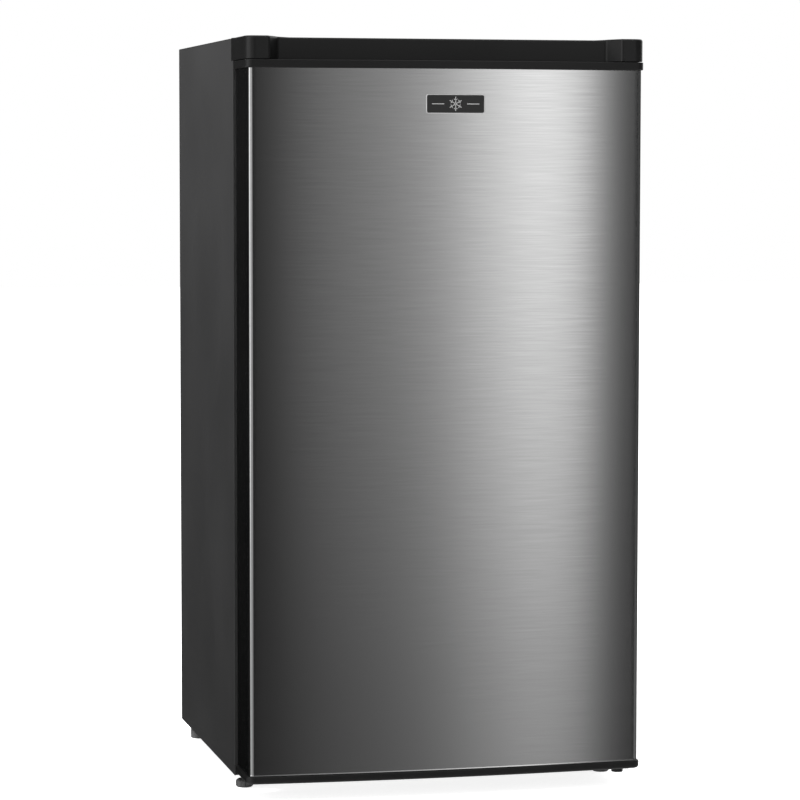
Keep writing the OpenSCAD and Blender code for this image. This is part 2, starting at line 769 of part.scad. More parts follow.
// Copper lines: hot gas to the condenser, cold gas from the evaporator, condenser outlet to the drier
module refrigerant_tubes() {
    z = pump_z0 + 44;
    inlet_x = -cond_x + cond_pitch / 2;
    out_z = cond_z0 + (cond_runs - 1) * cond_pitch;
    drop_x = -cond_x - 10;
    stub = pump_r + 12.3;
    color("#b87333") {
        swept_tube([
            [pump_x + stub * cos(200), pump_y + stub * sin(200), z], [pump_x - 82, pump_y - 30, z + 2],
            [pump_x - 110, pump_y - 26, z + 8], [inlet_x + 4, pump_y + 6, z + 24],
            [inlet_x, cond_y - 18, z + 60],
            [inlet_x, cond_y - 2, z + 90], [inlet_x, cond_y, z + 112], [inlet_x, cond_y, cond_z0 - 2.6]
        ], [0.6, -0.7, 0.4], 2.6);
        swept_tube([
            [pump_x + stub * cos(320), pump_y + stub * sin(320), z], [pump_x + 66, pump_y - 54, z + 2],
            [pump_x + 104, pump_y - 58, z + 12], [pump_x + 134, pump_y - 54, z + 40],
            [pump_x + 142, pump_y - 46, z + 80], [pump_x + 142, pump_y - 44, comp_top_z - 1]
        ], [0.2, 1, 0.3], 3);
        swept_tube([
            [inlet_x - 0.2, cond_y, out_z], [drop_x + 12, cond_y, out_z], [drop_x + 3, cond_y, out_z - 3],
            [drop_x, cond_y, out_z - 12], [drop_x, cond_y, cond_z0], [drop_x, cond_y - 8, cond_z0 - 18],
            [drier_x, drier_y + 8, base_z + 178], [drier_x, drier_y, base_z + 166.2]
        ], [1, 0.2, 0], 2);
    }
}

// One serpentine across the back: level runs joined by half turns
module condenser_tube() {
    bend = cond_pitch / 2;
    function turn(i) = let (s = i % 2 == 0 ? 1 : -1, z = cond_z0 + i * cond_pitch)
        [for (k = [0:6]) [s * (cond_x - bend + bend * sin(30 * k)), cond_y, z + bend - bend * cos(30 * k)]];
    path = concat(
        [[-cond_x + bend, cond_y, cond_z0]],
        [for (i = [0:cond_runs - 2]) each turn(i)],
        [[(cond_runs % 2 == 0 ? -1 : 1) * (cond_x - bend), cond_y, turn(cond_runs - 1)[0][2]]]
    );
    color("#17181a") swept_tube(path, [0, 1, 0], cond_r, 8);
}

module condenser_wires() {
    wire_r = 0.9;
    color("#17181a") for (x = [-160:16:160])
        translate([x, cond_y + cond_r + wire_r + 0.05, cond_z0 - 10])
            cylinder(r = wire_r, h = (cond_runs - 1) * cond_pitch + 20, $fn = 16);
}

module condenser_brackets() {
    color("#17181a") mirror_x() for (i = [1, cond_runs - 2])
        span([cond_x - 40, back_sheet_y + eps, cond_z0 + i * cond_pitch - 5],
             [cond_x - 26, cond_y - cond_r - eps, cond_z0 + i * cond_pitch + 5]);
}

// Stand-offs that keep the condenser clear of the wall
module wall_spacers() {
    color("#17181a") mirror_x() {
        span([150, back_sheet_y + eps, top_z - 60], [170, back_y + rear_proud, top_z - 44]);
        span([146, back_sheet_y + eps, top_z - 64], [174, back_sheet_y + 3, top_z - 40]);
    }
}

// ---------- door ----------

skin_t = 0.6;
steel_t = 0.6;
steel_x = half_w - 2;

// Painted sheet that wraps the door's sides and runs behind the steel face
module door_skin() {
    color("#0d0d0e") translate([0, 0, door_z0 + cap_h + slack])
        linear_extrude(door_z1 - door_z0 - 2 * cap_h - 2 * slack) difference() {
            door_outline(steel_t, door_rear_y - liner_t - eps);
            door_outline(steel_t + skin_t, door_rear_y - liner_t - eps - skin_t);
            translate([-half_w + 18, door_rear_y - 20]) square([cab_w - 36, 30]);
        }
}

// Brushed steel sheet on the bowed face, turned round the door's front corners
module door_steel_front() {
    color("#8c8c8e") translate([0, 0, door_z0 + cap_h + slack])
        linear_extrude(door_z1 - door_z0 - 2 * cap_h - 2 * slack) intersection() {
            difference() {
                door_outline(0, door_rear_y);
                door_outline(steel_t - 0.02, door_rear_y + 1);
            }
            translate([-steel_x, door_edge_y - door_bow - 1]) square([2 * steel_x, door_bow + 5]);
        }
}

// Plan outline of an end cap, a little larger than the door
module cap_outline() {
    w = half_w + cap_side;
    r = corner_r + 1;
    cx = w - r;
    big = bow_r(half_w);
    cy = door_edge_y - door_bow + big;
    c_y = bow_y(half_w, 0, cx) - cap_front + r;
    polygon(concat(
        [[-w, door_rear_y]],
        arc([-cx, c_y], r, 180, 265, 6),
        [for (i = [1:35]) let (x = cx * (2 * i / 36 - 1)) [x, cy - sqrt(pow(big + cap_front, 2) - x * x)]],
        arc([cx, c_y], r, 275, 360, 6),
        [[w, door_rear_y]]
    ));
}

bush_r = 7;
module hinge_bores(z) {
    for (x = [-hinge_x, hinge_x]) translate([x, hinge_y, z]) cylinder(r = bush_r + 0.05, h = 60, $fn = 48);
}

// Top end cap with a finger groove along its middle
module door_top_cap() {
    grip_x = 150;
    grip_y0 = door_edge_y + 2;
    grip_y1 = door_edge_y + 24;
    plug_z = door_z1 - 24;
    color("#1b1b1c") difference() {
        union() {
            translate([0, 0, door_z1 - cap_h]) linear_extrude(cap_h) cap_outline();
            span([-half_w + 8, door_edge_y + 2, plug_z],
                [half_w - 8, door_rear_y - 6, door_z1 - cap_h + eps]);
        }
        span([-grip_x, grip_y0, door_z1 - 18], [grip_x, grip_y1, door_z1 + 1]);
        span([-180, grip_y1 + 3, plug_z - 1], [180, door_rear_y - 9, door_z1 - 3]);
        hinge_bores(plug_z - 1);
    }
}

module door_bottom_cap() {
    plug_z = door_z0 + 26;
    color("#1b1b1c") difference() {
        union() {
            translate([0, 0, door_z0]) linear_extrude(cap_h) cap_outline();
            span([-half_w + 8, door_edge_y + 2, door_z0 + cap_h - eps],
                [half_w - 8, door_rear_y - 6, plug_z]);
        }
        span([-180, door_edge_y + 5, door_z0 + 3], [180, door_rear_y - 9, plug_z + 1]);
        hinge_bores(door_z0 - 1);
    }
}

module hinge_bushes() {
    bore_r = hinge_pin_r + 0.06;
    color("#dcdcd8") {
        translate([hinge_x, hinge_y, door_z1 - 22]) difference() {
            cylinder(r = bush_r, h = 22, $fn = 48);
            translate([0, 0, 3]) cylinder(r = bore_r, h = 30, $fn = 48);
        }
        translate([hinge_x, hinge_y, door_z0]) difference() {
            cylinder(r = bush_r, h = 24, $fn = 48);
            translate([0, 0, -3]) cylinder(r = bore_r, h = 24, $fn = 48);
        }
        translate([-hinge_x, hinge_y, door_z1 - 8]) cylinder(r = bush_r, h = 7.5, $fn = 48);
        translate([-hinge_x, hinge_y, door_z0 + 0.5]) cylinder(r = bush_r, h = 7.5, $fn = 48);
    }
}

module door_foam() {
    g = slack / 2;
    z0 = door_z0 + 26 + slack;
    z1 = door_z1 - 24 - slack;
    mid_y = door_recess_y - liner_t;
    rear = door_rear_y - liner_t - skin_t - eps;
    in_x = recess_x + liner_t;
    out_x = half_w - steel_t - skin_t - slack;
    in_z0 = recess_z0 - liner_t;
    in_z1 = recess_z1 + liner_t;
    rim_y = dyke_y - liner_t;
    rim_x = dyke_x - liner_t;
    rim_z0 = dyke_z0 + liner_t;
    rim_z1 = dyke_z1 - liner_t;
    color("#e8dfae") {
        door_slab(steel_t + skin_t + g, mid_y - g, z0, z1);
        mirror_x() {
            foam_slab(in_x, out_x, mid_y, rear, z0, z1);
            foam_slab(in_x, rim_x, rear, rim_y, rim_z0, rim_z1);
        }
        foam_slab(-in_x, in_x, mid_y, rear, z0, in_z0);
        foam_slab(-in_x, in_x, mid_y, rear, in_z1, z1);
        foam_slab(-in_x, in_x, rear, rim_y, rim_z0, in_z0);
        foam_slab(-in_x, in_x, rear, rim_y, in_z1, rim_z1);
    }
}

// White inner face of the door: a rim that enters the cabinet round a recess for the bins
module door_liner() {
    t = liner_t;
    rear = door_rear_y;
    in_x = recess_x + t;
    color("#f2f3f2") {
        difference() {
            union() {
                span([-half_w + 9, rear - t, door_z0 + cap_h + 1], [half_w - 9, rear, door_z1 - cap_h - 1]);
                span([-dyke_x, rear - t, dyke_z0], [dyke_x, dyke_y, dyke_z1]);
                span([-in_x, door_recess_y - t, recess_z0 - t], [in_x, rear, recess_z1 + t]);
            }
            difference() {
                span([-dyke_x + t, rear - t - 1, dyke_z0 + t], [dyke_x - t, dyke_y - t, dyke_z1 - t]);
                span([-in_x, rear - t - 2, recess_z0 - t], [in_x, dyke_y, recess_z1 + t]);
            }
            span([-recess_x, door_recess_y, recess_z0], [recess_x, dyke_y + 1, recess_z1]);
        }
        for (row = bin_rows) mirror_x()
            span([recess_x - 3, door_recess_y + 12, row[0] + row[1] - 16],
                 [recess_x + eps, door_recess_y + 40, row[0] + row[1] - 4.2]);
    }
}

// Magnetic seal round the door's inner face
module door_gasket() {
    out_x = half_w - 18;
    in_x = out_x - 18;
    z0 = door_z0 + cap_h + 6;
    z1 = door_z1 - cap_h - 1;
    color("#55565a") difference() {
        span([-out_x, door_rear_y + eps, z0], [out_x, front_y - 0.3, z1]);
        span([-in_x, door_rear_y - 1, z0 + 18], [in_x, front_y + 1, z1 - 18]);
    }
}

// Bins with hooked side lips that rest on the liner's lugs
module door_bin(z0, h) {
    y0 = door_recess_y + 1;
    z1 = z0 + h;
    open_box([-bin_x, y0, z0], [bin_x, bin_front_y, z1], bin_t);
    mirror_x() span([bin_x - eps, y0 + 11, z1 - 4], [bin_x + 2.5, y0 + 40, z1]);
}

module door_bins() {
    color([0.93, 0.96, 0.97, 0.6]) for (row = bin_rows) door_bin(row[0], row[1]);
}

module door_badge() {
    y = door_edge_y - door_bow - 0.05;
    color("#5b5c5e") difference() {
        span([badge_x - badge_w / 2, y - 1.4 + cap_front / 2, badge_z - badge_h / 2],
             [badge_x + badge_w / 2, y, badge_z + badge_h / 2]);
        span([badge_x - badge_w / 2 + 1.5, y - 3, badge_z - badge_h / 2 + 1.5],
             [badge_x + badge_w / 2 - 1.5, y - 0.5, badge_z + badge_h / 2 - 1.5]);
    }
}

// ---------- nodes ----------

side_panel_left();
side_panel_right();
top_panel();
back_panel();
compartment_panel();
base_rails();
front_crossbar();
cabinet_foam();
inner_liner();
top_trim();
top_hinge_bracket();
bottom_hinge_bracket();
hinge_screws();
front_foot_left();
front_foot_right();
rear_feet();
upper_shelf_glass();
upper_shelf_trim();
lower_shelf_glass();
lower_shelf_trim();
crisper_cover_glass();
crisper_cover_trim();
crisper_drawer();
ice_box();
ice_box_hangers();
ice_box_frame();
ice_box_flap();
drip_tray();
thermostat_housing();
thermostat_control();
thermostat_knob();
lamp_holder();
lamp_bulb();
lamp_lens();
door_switch_housing();
door_switch_plunger();
compressor_base();
compressor();
compressor_grommets();
terminal_cover();
cord_gland();
evaporation_tray();
drain_tube();
filter_drier();
refrigerant_tubes();
condenser_tube();
condenser_wires();
condenser_brackets();
wall_spacers();
door_skin();
door_steel_front();
door_top_cap();
door_bottom_cap();
door_foam();
door_liner();
door_gasket();
door_bins();
hinge_bushes();
door_badge();
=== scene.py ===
"""Looks for the undercounter mini fridge: studio, materials and the detailed visible surfaces.

Lengths are in metres unless a name ends in _mm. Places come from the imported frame.
"""
import json
import math

import bmesh
import bpy
from mathutils import Matrix, Vector


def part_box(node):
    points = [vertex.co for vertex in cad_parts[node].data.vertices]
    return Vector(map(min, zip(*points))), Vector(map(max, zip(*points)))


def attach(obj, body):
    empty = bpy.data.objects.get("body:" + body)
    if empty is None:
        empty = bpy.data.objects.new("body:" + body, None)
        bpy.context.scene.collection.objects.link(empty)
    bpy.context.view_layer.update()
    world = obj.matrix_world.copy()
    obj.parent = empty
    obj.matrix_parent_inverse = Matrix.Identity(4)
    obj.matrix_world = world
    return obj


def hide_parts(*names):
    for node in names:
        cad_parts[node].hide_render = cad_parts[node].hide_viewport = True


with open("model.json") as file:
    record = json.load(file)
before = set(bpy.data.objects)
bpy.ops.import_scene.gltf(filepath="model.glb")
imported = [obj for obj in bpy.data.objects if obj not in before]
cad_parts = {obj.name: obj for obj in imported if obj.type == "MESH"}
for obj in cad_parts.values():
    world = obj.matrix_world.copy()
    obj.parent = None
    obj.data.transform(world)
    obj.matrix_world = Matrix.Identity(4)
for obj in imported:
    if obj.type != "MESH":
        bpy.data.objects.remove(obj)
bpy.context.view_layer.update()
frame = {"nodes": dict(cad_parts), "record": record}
scene = bpy.context.scene
scene.view_settings.view_transform = "Standard"

MM = 0.001


# ---------------------------------------------------------------- node helpers

def new_material(name):
    """A material with its nodes and links."""
    material = bpy.data.materials.new(name)
    material.use_nodes = True
    return material, material.node_tree.nodes, material.node_tree.links


def noise_source(nodes, links, scale, detail=3.0, stretch=None):
    """Noise in the object's own metres. stretch multiplies the frequency along each axis."""
    coords = nodes.new("ShaderNodeTexCoord")
    mapping = nodes.new("ShaderNodeMapping")
    links.new(coords.outputs["Object"], mapping.inputs["Vector"])
    if stretch:
        mapping.inputs["Scale"].default_value = stretch
    made = nodes.new("ShaderNodeTexNoise")
    made.inputs["Scale"].default_value = scale
    made.inputs["Detail"].default_value = detail
    links.new(mapping.outputs["Vector"], made.inputs["Vector"])
    return made.outputs["Fac"]


def spread(nodes, links, source, low, high, start=0.35, end=0.65):
    """Maps a 0 to 1 texture onto low to high."""
    made = nodes.new("ShaderNodeMapRange")
    made.inputs["From Min"].default_value = start
    made.inputs["From Max"].default_value = end
    made.inputs["To Min"].default_value = low
    made.inputs["To Max"].default_value = high
    links.new(source, made.inputs["Value"])
    return made.outputs["Result"]


def tinted(nodes, links, source, dark, light, start=0.3, end=0.7):
    """Maps a 0 to 1 texture onto two colours."""
    ramp = nodes.new("ShaderNodeValToRGB")
    ramp.color_ramp.elements[0].position = start
    ramp.color_ramp.elements[0].color = (*dark, 1)
    ramp.color_ramp.elements[1].position = end
    ramp.color_ramp.elements[1].color = (*light, 1)
    links.new(source, ramp.inputs["Fac"])
    return ramp.outputs["Color"]


def bumped(nodes, links, shader, source, distance, strength=1.0):
    """Turns a texture into relief of the given depth on the shader."""
    bump = nodes.new("ShaderNodeBump")
    bump.inputs["Strength"].default_value = strength
    bump.inputs["Distance"].default_value = distance
    links.new(source, bump.inputs["Height"])
    links.new(bump.outputs["Normal"], shader.inputs["Normal"])


def surface(name, dark, light, rough, metallic=0.0, grain=400.0, grain_depth=0.00002,
            tone_scale=12.0, **sockets):
    """A material with slow tone changes, varying roughness and a fine grain in its bump.

    Any other named argument is set on the shader's socket of that name.
    """
    material, nodes, links = new_material(name)
    shader = nodes["Principled BSDF"]
    shader.inputs["Metallic"].default_value = metallic
    for key, value in sockets.items():
        shader.inputs[key.replace("_", " ")].default_value = value
    slow = noise_source(nodes, links, tone_scale, 4.0)
    links.new(tinted(nodes, links, slow, dark, light), shader.inputs["Base Color"])
    links.new(spread(nodes, links, slow, rough[0], rough[1]), shader.inputs["Roughness"])
    fine = noise_source(nodes, links, grain, 2.0)
    bumped(nodes, links, shader, fine, grain_depth)
    return material


def tone(value, shift=0.0):
    """A grey, with a little more blue if shift is given."""
    return (value, value, value + shift)


# ---------------------------------------------------------------- materials

def make_brushed_steel():
    """Steel brushed from side to side: its gloss spreads up and down."""
    material, nodes, links = new_material("brushed_steel")
    shader = nodes["Principled BSDF"]
    shader.inputs["Metallic"].default_value = 1.0
    shader.inputs["Anisotropic"].default_value = 0.75
    tangent = nodes.new("ShaderNodeTangent")
    tangent.direction_type = "UV_MAP"
    links.new(tangent.outputs["Tangent"], shader.inputs["Tangent"])
    fine = noise_source(nodes, links, 1.0, 2.0, (16.0, 16.0, 1500.0))
    coarse = noise_source(nodes, links, 1.0, 3.0, (22.0, 22.0, 520.0))
    mixed = nodes.new("ShaderNodeMix")
    mixed.data_type = "FLOAT"
    mixed.inputs["Factor"].default_value = 0.3
    links.new(fine, mixed.inputs[2])
    links.new(coarse, mixed.inputs[3])
    streaks = mixed.outputs[0]
    links.new(tinted(nodes, links, streaks, tone(0.56), tone(0.635)), shader.inputs["Base Color"])
    links.new(spread(nodes, links, streaks, 0.17, 0.15), shader.inputs["Roughness"])
    bumped(nodes, links, shader, streaks, 0.0000010)
    return material


def make_zinc():
    """Zinc coat with its spangle: flat crystals, each with its own tone."""
    material, nodes, links = new_material("zinc_sheet")
    shader = nodes["Principled BSDF"]
    shader.inputs["Metallic"].default_value = 0.85
    coords = nodes.new("ShaderNodeTexCoord")
    cells = nodes.new("ShaderNodeTexVoronoi")
    cells.inputs["Scale"].default_value = 130.0
    links.new(coords.outputs["Object"], cells.inputs["Vector"])
    split = nodes.new("ShaderNodeSeparateColor")
    links.new(cells.outputs["Color"], split.inputs["Color"])
    crystal = split.outputs["Red"]
    links.new(tinted(nodes, links, crystal, tone(0.36, 0.01), tone(0.52, 0.015), 0.0, 1.0),
              shader.inputs["Base Color"])
    links.new(spread(nodes, links, crystal, 0.32, 0.52, 0.0, 1.0), shader.inputs["Roughness"])
    bumped(nodes, links, shader, noise_source(nodes, links, 220.0, 3.0), 0.00003)
    return material


def make_clear(name, colour, rough, transmission, ior=1.49):
    """Glass or clear plastic with a slight haze."""
    material, nodes, links = new_material(name)
    shader = nodes["Principled BSDF"]
    shader.inputs["Transmission Weight"].default_value = transmission
    shader.inputs["IOR"].default_value = ior
    haze = noise_source(nodes, links, 30.0, 3.0)
    darker = tuple(c * 0.97 for c in colour)
    links.new(tinted(nodes, links, haze, darker, colour), shader.inputs["Base Color"])
    links.new(spread(nodes, links, haze, rough[0], rough[1]), shader.inputs["Roughness"])
    bumped(nodes, links, shader, noise_source(nodes, links, 55.0, 2.0), 0.00004, 0.5)
    return material


def make_copper():
    """Bright copper with darker, duller patches."""
    material, nodes, links = new_material("copper")
    shader = nodes["Principled BSDF"]
    shader.inputs["Metallic"].default_value = 1.0
    age = noise_source(nodes, links, 60.0, 5.0)
    aged, bright = (0.36, 0.15, 0.07), (0.78, 0.40, 0.24)
    links.new(tinted(nodes, links, age, aged, bright), shader.inputs["Base Color"])
    links.new(spread(nodes, links, age, 0.55, 0.28), shader.inputs["Roughness"])
    bumped(nodes, links, shader, noise_source(nodes, links, 500.0, 2.0), 0.00002)
    return material


MATERIALS = {
    "brushed_steel": make_brushed_steel(),
    "cabinet_paint": surface("cabinet_paint", tone(0.020, 0.0002), tone(0.023, 0.0002),
                             (0.42, 0.48), grain=900.0, grain_depth=0.000012, tone_scale=5.0),
    "door_paint": surface("door_paint", tone(0.0025), tone(0.0035), (0.12, 0.16),
                          grain=260.0, grain_depth=0.000004, tone_scale=8.0,
                          Specular_IOR_Level=0.3, Coat_Weight=0.1),
    "black_trim": surface("black_trim", tone(0.0055), tone(0.0070), (0.34, 0.40),
                          grain=1400.0, grain_depth=0.00001, Specular_IOR_Level=0.34),
    "badge_metal": surface("badge_metal", tone(0.055), tone(0.07), (0.32, 0.4), 0.9,
                           grain=900.0, grain_depth=0.00001),
    "bright_metal": surface("bright_metal", tone(0.72), tone(0.8), (0.14, 0.2), 1.0,
                            grain=700.0, grain_depth=0.000004),
    "zinc_steel": make_zinc(),
    "black_steel": surface("black_steel", tone(0.018), tone(0.026, 0.002), (0.38, 0.5), 0.3,
                           grain=700.0, grain_depth=0.00002),
    "foam": surface("foam", (0.62, 0.52, 0.27), (0.78, 0.68, 0.40), (0.85, 0.95),
                    grain=600.0, grain_depth=0.0004, tone_scale=25.0),
    "white_liner": surface("white_liner", (0.705, 0.715, 0.705), (0.72, 0.73, 0.72), (0.29, 0.30),
                           grain=350.0, grain_depth=0.00002, tone_scale=3.0),
    "white_plastic": surface("white_plastic", (0.69, 0.70, 0.70), (0.71, 0.72, 0.72), (0.31, 0.33),
                             grain=900.0, grain_depth=0.000015),
    "knob_plastic": surface("knob_plastic", (0.70, 0.72, 0.74), (0.76, 0.78, 0.80), (0.25, 0.33),
                            grain=1200.0, grain_depth=0.00001),
    "clear_plastic": make_clear("clear_plastic", (0.90, 0.95, 0.97), (0.04, 0.12), 0.88),
    "flap_plastic": make_clear("flap_plastic", (0.86, 0.92, 0.96), (0.28, 0.42), 0.45),
    "shelf_glass": make_clear("shelf_glass", (0.84, 0.95, 0.91), (0.0, 0.02), 0.97, 1.52),
    "bulb_glass": make_clear("bulb_glass", (0.98, 0.95, 0.88), (0.25, 0.35), 0.7, 1.5),
    "roll_bond": surface("roll_bond", tone(0.66, 0.01), tone(0.78, 0.015), (0.30, 0.48), 1.0,
                         grain=180.0, grain_depth=0.00008, tone_scale=18.0),
    "foot_plastic": surface("foot_plastic", tone(0.07), tone(0.09), (0.5, 0.62),
                            grain=1100.0, grain_depth=0.00002),
    "compressor_paint": surface("compressor_paint", tone(0.010), tone(0.016), (0.16, 0.3),
                                grain=150.0, grain_depth=0.00006, Coat_Weight=0.5),
    "black_rubber": surface("black_rubber", tone(0.016), tone(0.028), (0.7, 0.85),
                            grain=1300.0, grain_depth=0.00003),
    "black_plastic": surface("black_plastic", tone(0.016), tone(0.022, 0.002), (0.42, 0.55),
                             grain=1300.0, grain_depth=0.00003),
    "copper": make_copper(),
    "condenser_paint": surface("condenser_paint", tone(0.012), tone(0.020), (0.3, 0.42),
                               grain=900.0, grain_depth=0.00002),
    "gasket": surface("gasket", tone(0.045, 0.002), tone(0.06, 0.003), (0.55, 0.68),
                      grain=800.0, grain_depth=0.00002),
}

for entry in frame["record"]["subparts"]:
    for slot in frame["nodes"][entry["node"]].material_slots:
        slot.material = MATERIALS[entry["material_slot"]]


# ---------------------------------------------------------------- mesh helpers

def make_object(name, bm, slot_name, body, smooth_deg=32.0, material=None, sheet_mm=0.0):
    """Finishes a mesh: smooth within smooth_deg, even normals, and a thickness if it is a sheet."""
    bmesh.ops.recalc_face_normals(bm, faces=bm.faces)
    limit = math.radians(smooth_deg)
    for face in bm.faces:
        face.smooth = True
    for edge in bm.edges:
        edge.smooth = len(edge.link_faces) == 2 and edge.calc_face_angle(0.0) < limit
    mesh = bpy.data.meshes.new(name)
    bm.to_mesh(mesh)
    bm.free()
    made = bpy.data.objects.new(name, mesh)
    scene.collection.objects.link(made)
    mesh.materials.append(MATERIALS[material or slot_name])
    if sheet_mm:
        shell = made.modifiers.new("thickness", "SOLIDIFY")
        shell.thickness = sheet_mm * MM
    even = made.modifiers.new("even", "WEIGHTED_NORMAL")
    even.keep_sharp = True
    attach(made, body)
    return made


def join_rings(bm, rings, closed=True):
    """Quads between neighbouring rings of points; returns the rings' vertices."""
    made = [[bm.verts.new(p) for p in ring] for ring in rings]
    count = len(rings[0])
    for a, b in zip(made, made[1:]):
        for k in range(count if closed else count - 1):
            n = (k + 1) % count
            bm.faces.new((a[k], a[n], b[n], b[k]))
    return made


def rounded_rect(x0, x1, y0, y1, radius, steps=5):
    """Points round a rectangle with arcs at its corners, anticlockwise from its right side."""
    radius = max(min(radius, (x1 - x0) / 2.001, (y1 - y0) / 2.001), 1e-5)
    points = []
    for cx, cy, start in ((x1 - radius, y1 - radius, 0), (x0 + radius, y1 - radius, 90),
                          (x0 + radius, y0 + radius, 180), (x1 - radius, y0 + radius, 270)):
        for k in range(steps + 1):
            angle = math.radians(start + 90 * k / steps)
            points.append((cx + radius * math.cos(angle), cy + radius * math.sin(angle)))
    return points


def inset_outline(points, d):
    """Moves a closed anticlockwise outline inwards by d along its corner bisectors."""
    made = []
    count = len(points)
    for k in range(count):
        before, here, after = (Vector(points[(k + s) % count]) for s in (-1, 0, 1))
        a, b = (here - before), (after - here)
        if a.length < 1e-9 or b.length < 1e-9:
            made.append(tuple(here))
            continue
        a.normalize()
        b.normalize()
        na, nb = Vector((-a.y, a.x)), Vector((-b.y, b.x))
        bisector = na + nb
        bisector.normalize()
        made.append(tuple(here + bisector * (d / max(bisector.dot(na), 0.3))))
    return made


def rounded_slab(outline, z0, z1, r_top, r_bottom, steps=4):
    """Rings of a plate with the given plan outline whose upper and lower edges are rounded."""
    rings = []
    for k in range(steps + 1):
        angle = math.pi / 2 * k / steps
        ring = inset_outline(outline, r_bottom * (1 - math.sin(angle)))
        rings.append([(x, y, z0 + r_bottom * (1 - math.cos(angle))) for x, y in ring])
    for k in range(steps + 1):
        angle = math.pi / 2 * k / steps
        ring = inset_outline(outline, r_top * (1 - math.cos(angle)))
        rings.append([(x, y, z1 - r_top * (1 - math.sin(angle))) for x, y in ring])
    return rings


def soften(node, width_mm, segments=2, angle=35.0):
    """Rounds a CAD node's edges with modifiers; its mesh stays as packed."""
    target = frame["nodes"][node]
    weld = target.modifiers.new("weld", "WELD")
    weld.merge_threshold = 0.000005
    flat = target.modifiers.new("flat", "DECIMATE")
    flat.decimate_type = "DISSOLVE"
    flat.angle_limit = math.radians(0.05)
    bevel = target.modifiers.new("bevel", "BEVEL")
    bevel.width = width_mm * MM
    bevel.segments = segments
    bevel.limit_method = "ANGLE"
    bevel.angle_limit = math.radians(angle)
    even = target.modifiers.new("even", "WEIGHTED_NORMAL")
    even.keep_sharp = True


def tube(name, path, radius, slot_name, body, sides=12):
    """A round tube along a list of points."""
    bm = bmesh.new()
    points = [Vector(p) for p in path]
    last = len(points) - 1
    side = None
    rings = []
    for k, p in enumerate(points):
        along = (points[min(k + 1, last)] - points[max(k - 1, 0)]).normalized()
        if side is None:
            side = along.orthogonal().normalized()
        side = (side - along * side.dot(along)).normalized()
        other = along.cross(side)
        turns = [2 * math.pi * s / sides for s in range(sides)]
        rings.append([p + radius * (math.cos(a) * side + math.sin(a) * other) for a in turns])
    made = join_rings(bm, rings)
    bm.faces.new(made[0])
    bm.faces.new(made[-1])
    return make_object(name, bm, slot_name, body, 60.0)


# ---------------------------------------------------------------- places from the frame

panel_lo, panel_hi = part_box("side_panel_right")
half_width = panel_hi.x
front_y = panel_lo.y
steel_lo, steel_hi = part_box("door_steel_front")
skin_lo, skin_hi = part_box("door_skin")
cap_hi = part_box("door_top_cap")[1]
foot_cap_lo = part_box("door_bottom_cap")[0]
trim_lo, trim_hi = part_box("top_trim")
liner_lo, liner_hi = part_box("door_liner")

apex_y = steel_lo.y
door_rear_y = cap_hi.y
door_bow = 0.009
door_edge_y = apex_y + door_bow
bow_radius = (half_width ** 2 + door_bow ** 2) / (2 * door_bow)
cap_gap = 0.0002
cap_height = skin_lo.z - foot_cap_lo.z - cap_gap

DOOR_CORNER = 0.007
CAP_CORNER = 0.009
CORNER_STEPS = 14


def door_outline(half, corner, d=0.0, steps=64, rear=None):
    """Plan outline of the door moved inwards by d: bowed front, round corners, square rear.

    It runs anticlockwise and starts with the two rear corners.
    """
    radius = max(corner - d, 0.0008)
    cx = half - d - radius
    centre_y = apex_y + bow_radius
    cy = centre_y - math.sqrt((bow_radius - d - radius) ** 2 - cx * cx)
    tilt = math.asin(cx / (bow_radius - d - radius))
    rear_y = door_rear_y if rear is None else rear
    points = [(half - d, rear_y), (-half + d, rear_y)]
    for k in range(CORNER_STEPS + 1):
        a = math.pi + (math.pi / 2 - tilt) * k / CORNER_STEPS
        points.append((-cx + radius * math.cos(a), cy + radius * math.sin(a)))
    for k in range(1, steps):
        a = -tilt + 2 * tilt * k / steps
        points.append(((bow_radius - d) * math.sin(a), centre_y - (bow_radius - d) * math.cos(a)))
    for k in range(CORNER_STEPS + 1):
        a = 3 * math.pi / 2 + tilt + (math.pi / 2 - tilt) * k / CORNER_STEPS
        points.append((cx + radius * math.cos(a), cy + radius * math.sin(a)))
    return points


# ---------------------------------------------------------------- door, outside

def build_steel_front():
    """Steel sheet on the bowed face, turned round the front corners, with an eased upper edge."""
    bm = bmesh.new()
    uv = bm.loops.layers.uv.new("brush")
    z0, z1 = steel_lo.z, steel_hi.z
    ease = 0.0004
    # Rows of height and inset. The lower edge is a small rolled bead.
    rows = [(z0, 0.0003), (z0 + 0.0003, -0.0002), (z0 + 0.0008, -0.00045),
            (z0 + 0.0013, -0.0003), (z0 + 0.0018, 0.0)]
    rows += [(z0 + (z1 - z0) * k / 8, 0.0) for k in range(1, 8)]
    rows += [(z1 - ease, 0.0), (z1 - ease * 0.3, ease * 0.3), (z1, ease)]
    rings = []
    for z, d in rows:
        front = door_outline(half_width, DOOR_CORNER, d, steps=96)[2:]
        rings.append([(x, y, z) for x, y in front if abs(x) <= steel_hi.x + 0.0001 - d])
    # Every ring keeps the same number of points, taken from its middle
    shortest = min(len(ring) for ring in rings)
    rings = [ring[(len(ring) - shortest) // 2:][:shortest] for ring in rings]
    join_rings(bm, rings, closed=False)
    # The brushing runs along x, so x is the map's second axis
    for face in bm.faces:
        for loop in face.loops:
            loop[uv].uv = (loop.vert.co.z, loop.vert.co.x)
    made = make_object("steel_face", bm, "brushed_steel", "door", 40.0, sheet_mm=0.55)
    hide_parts("door_steel_front")


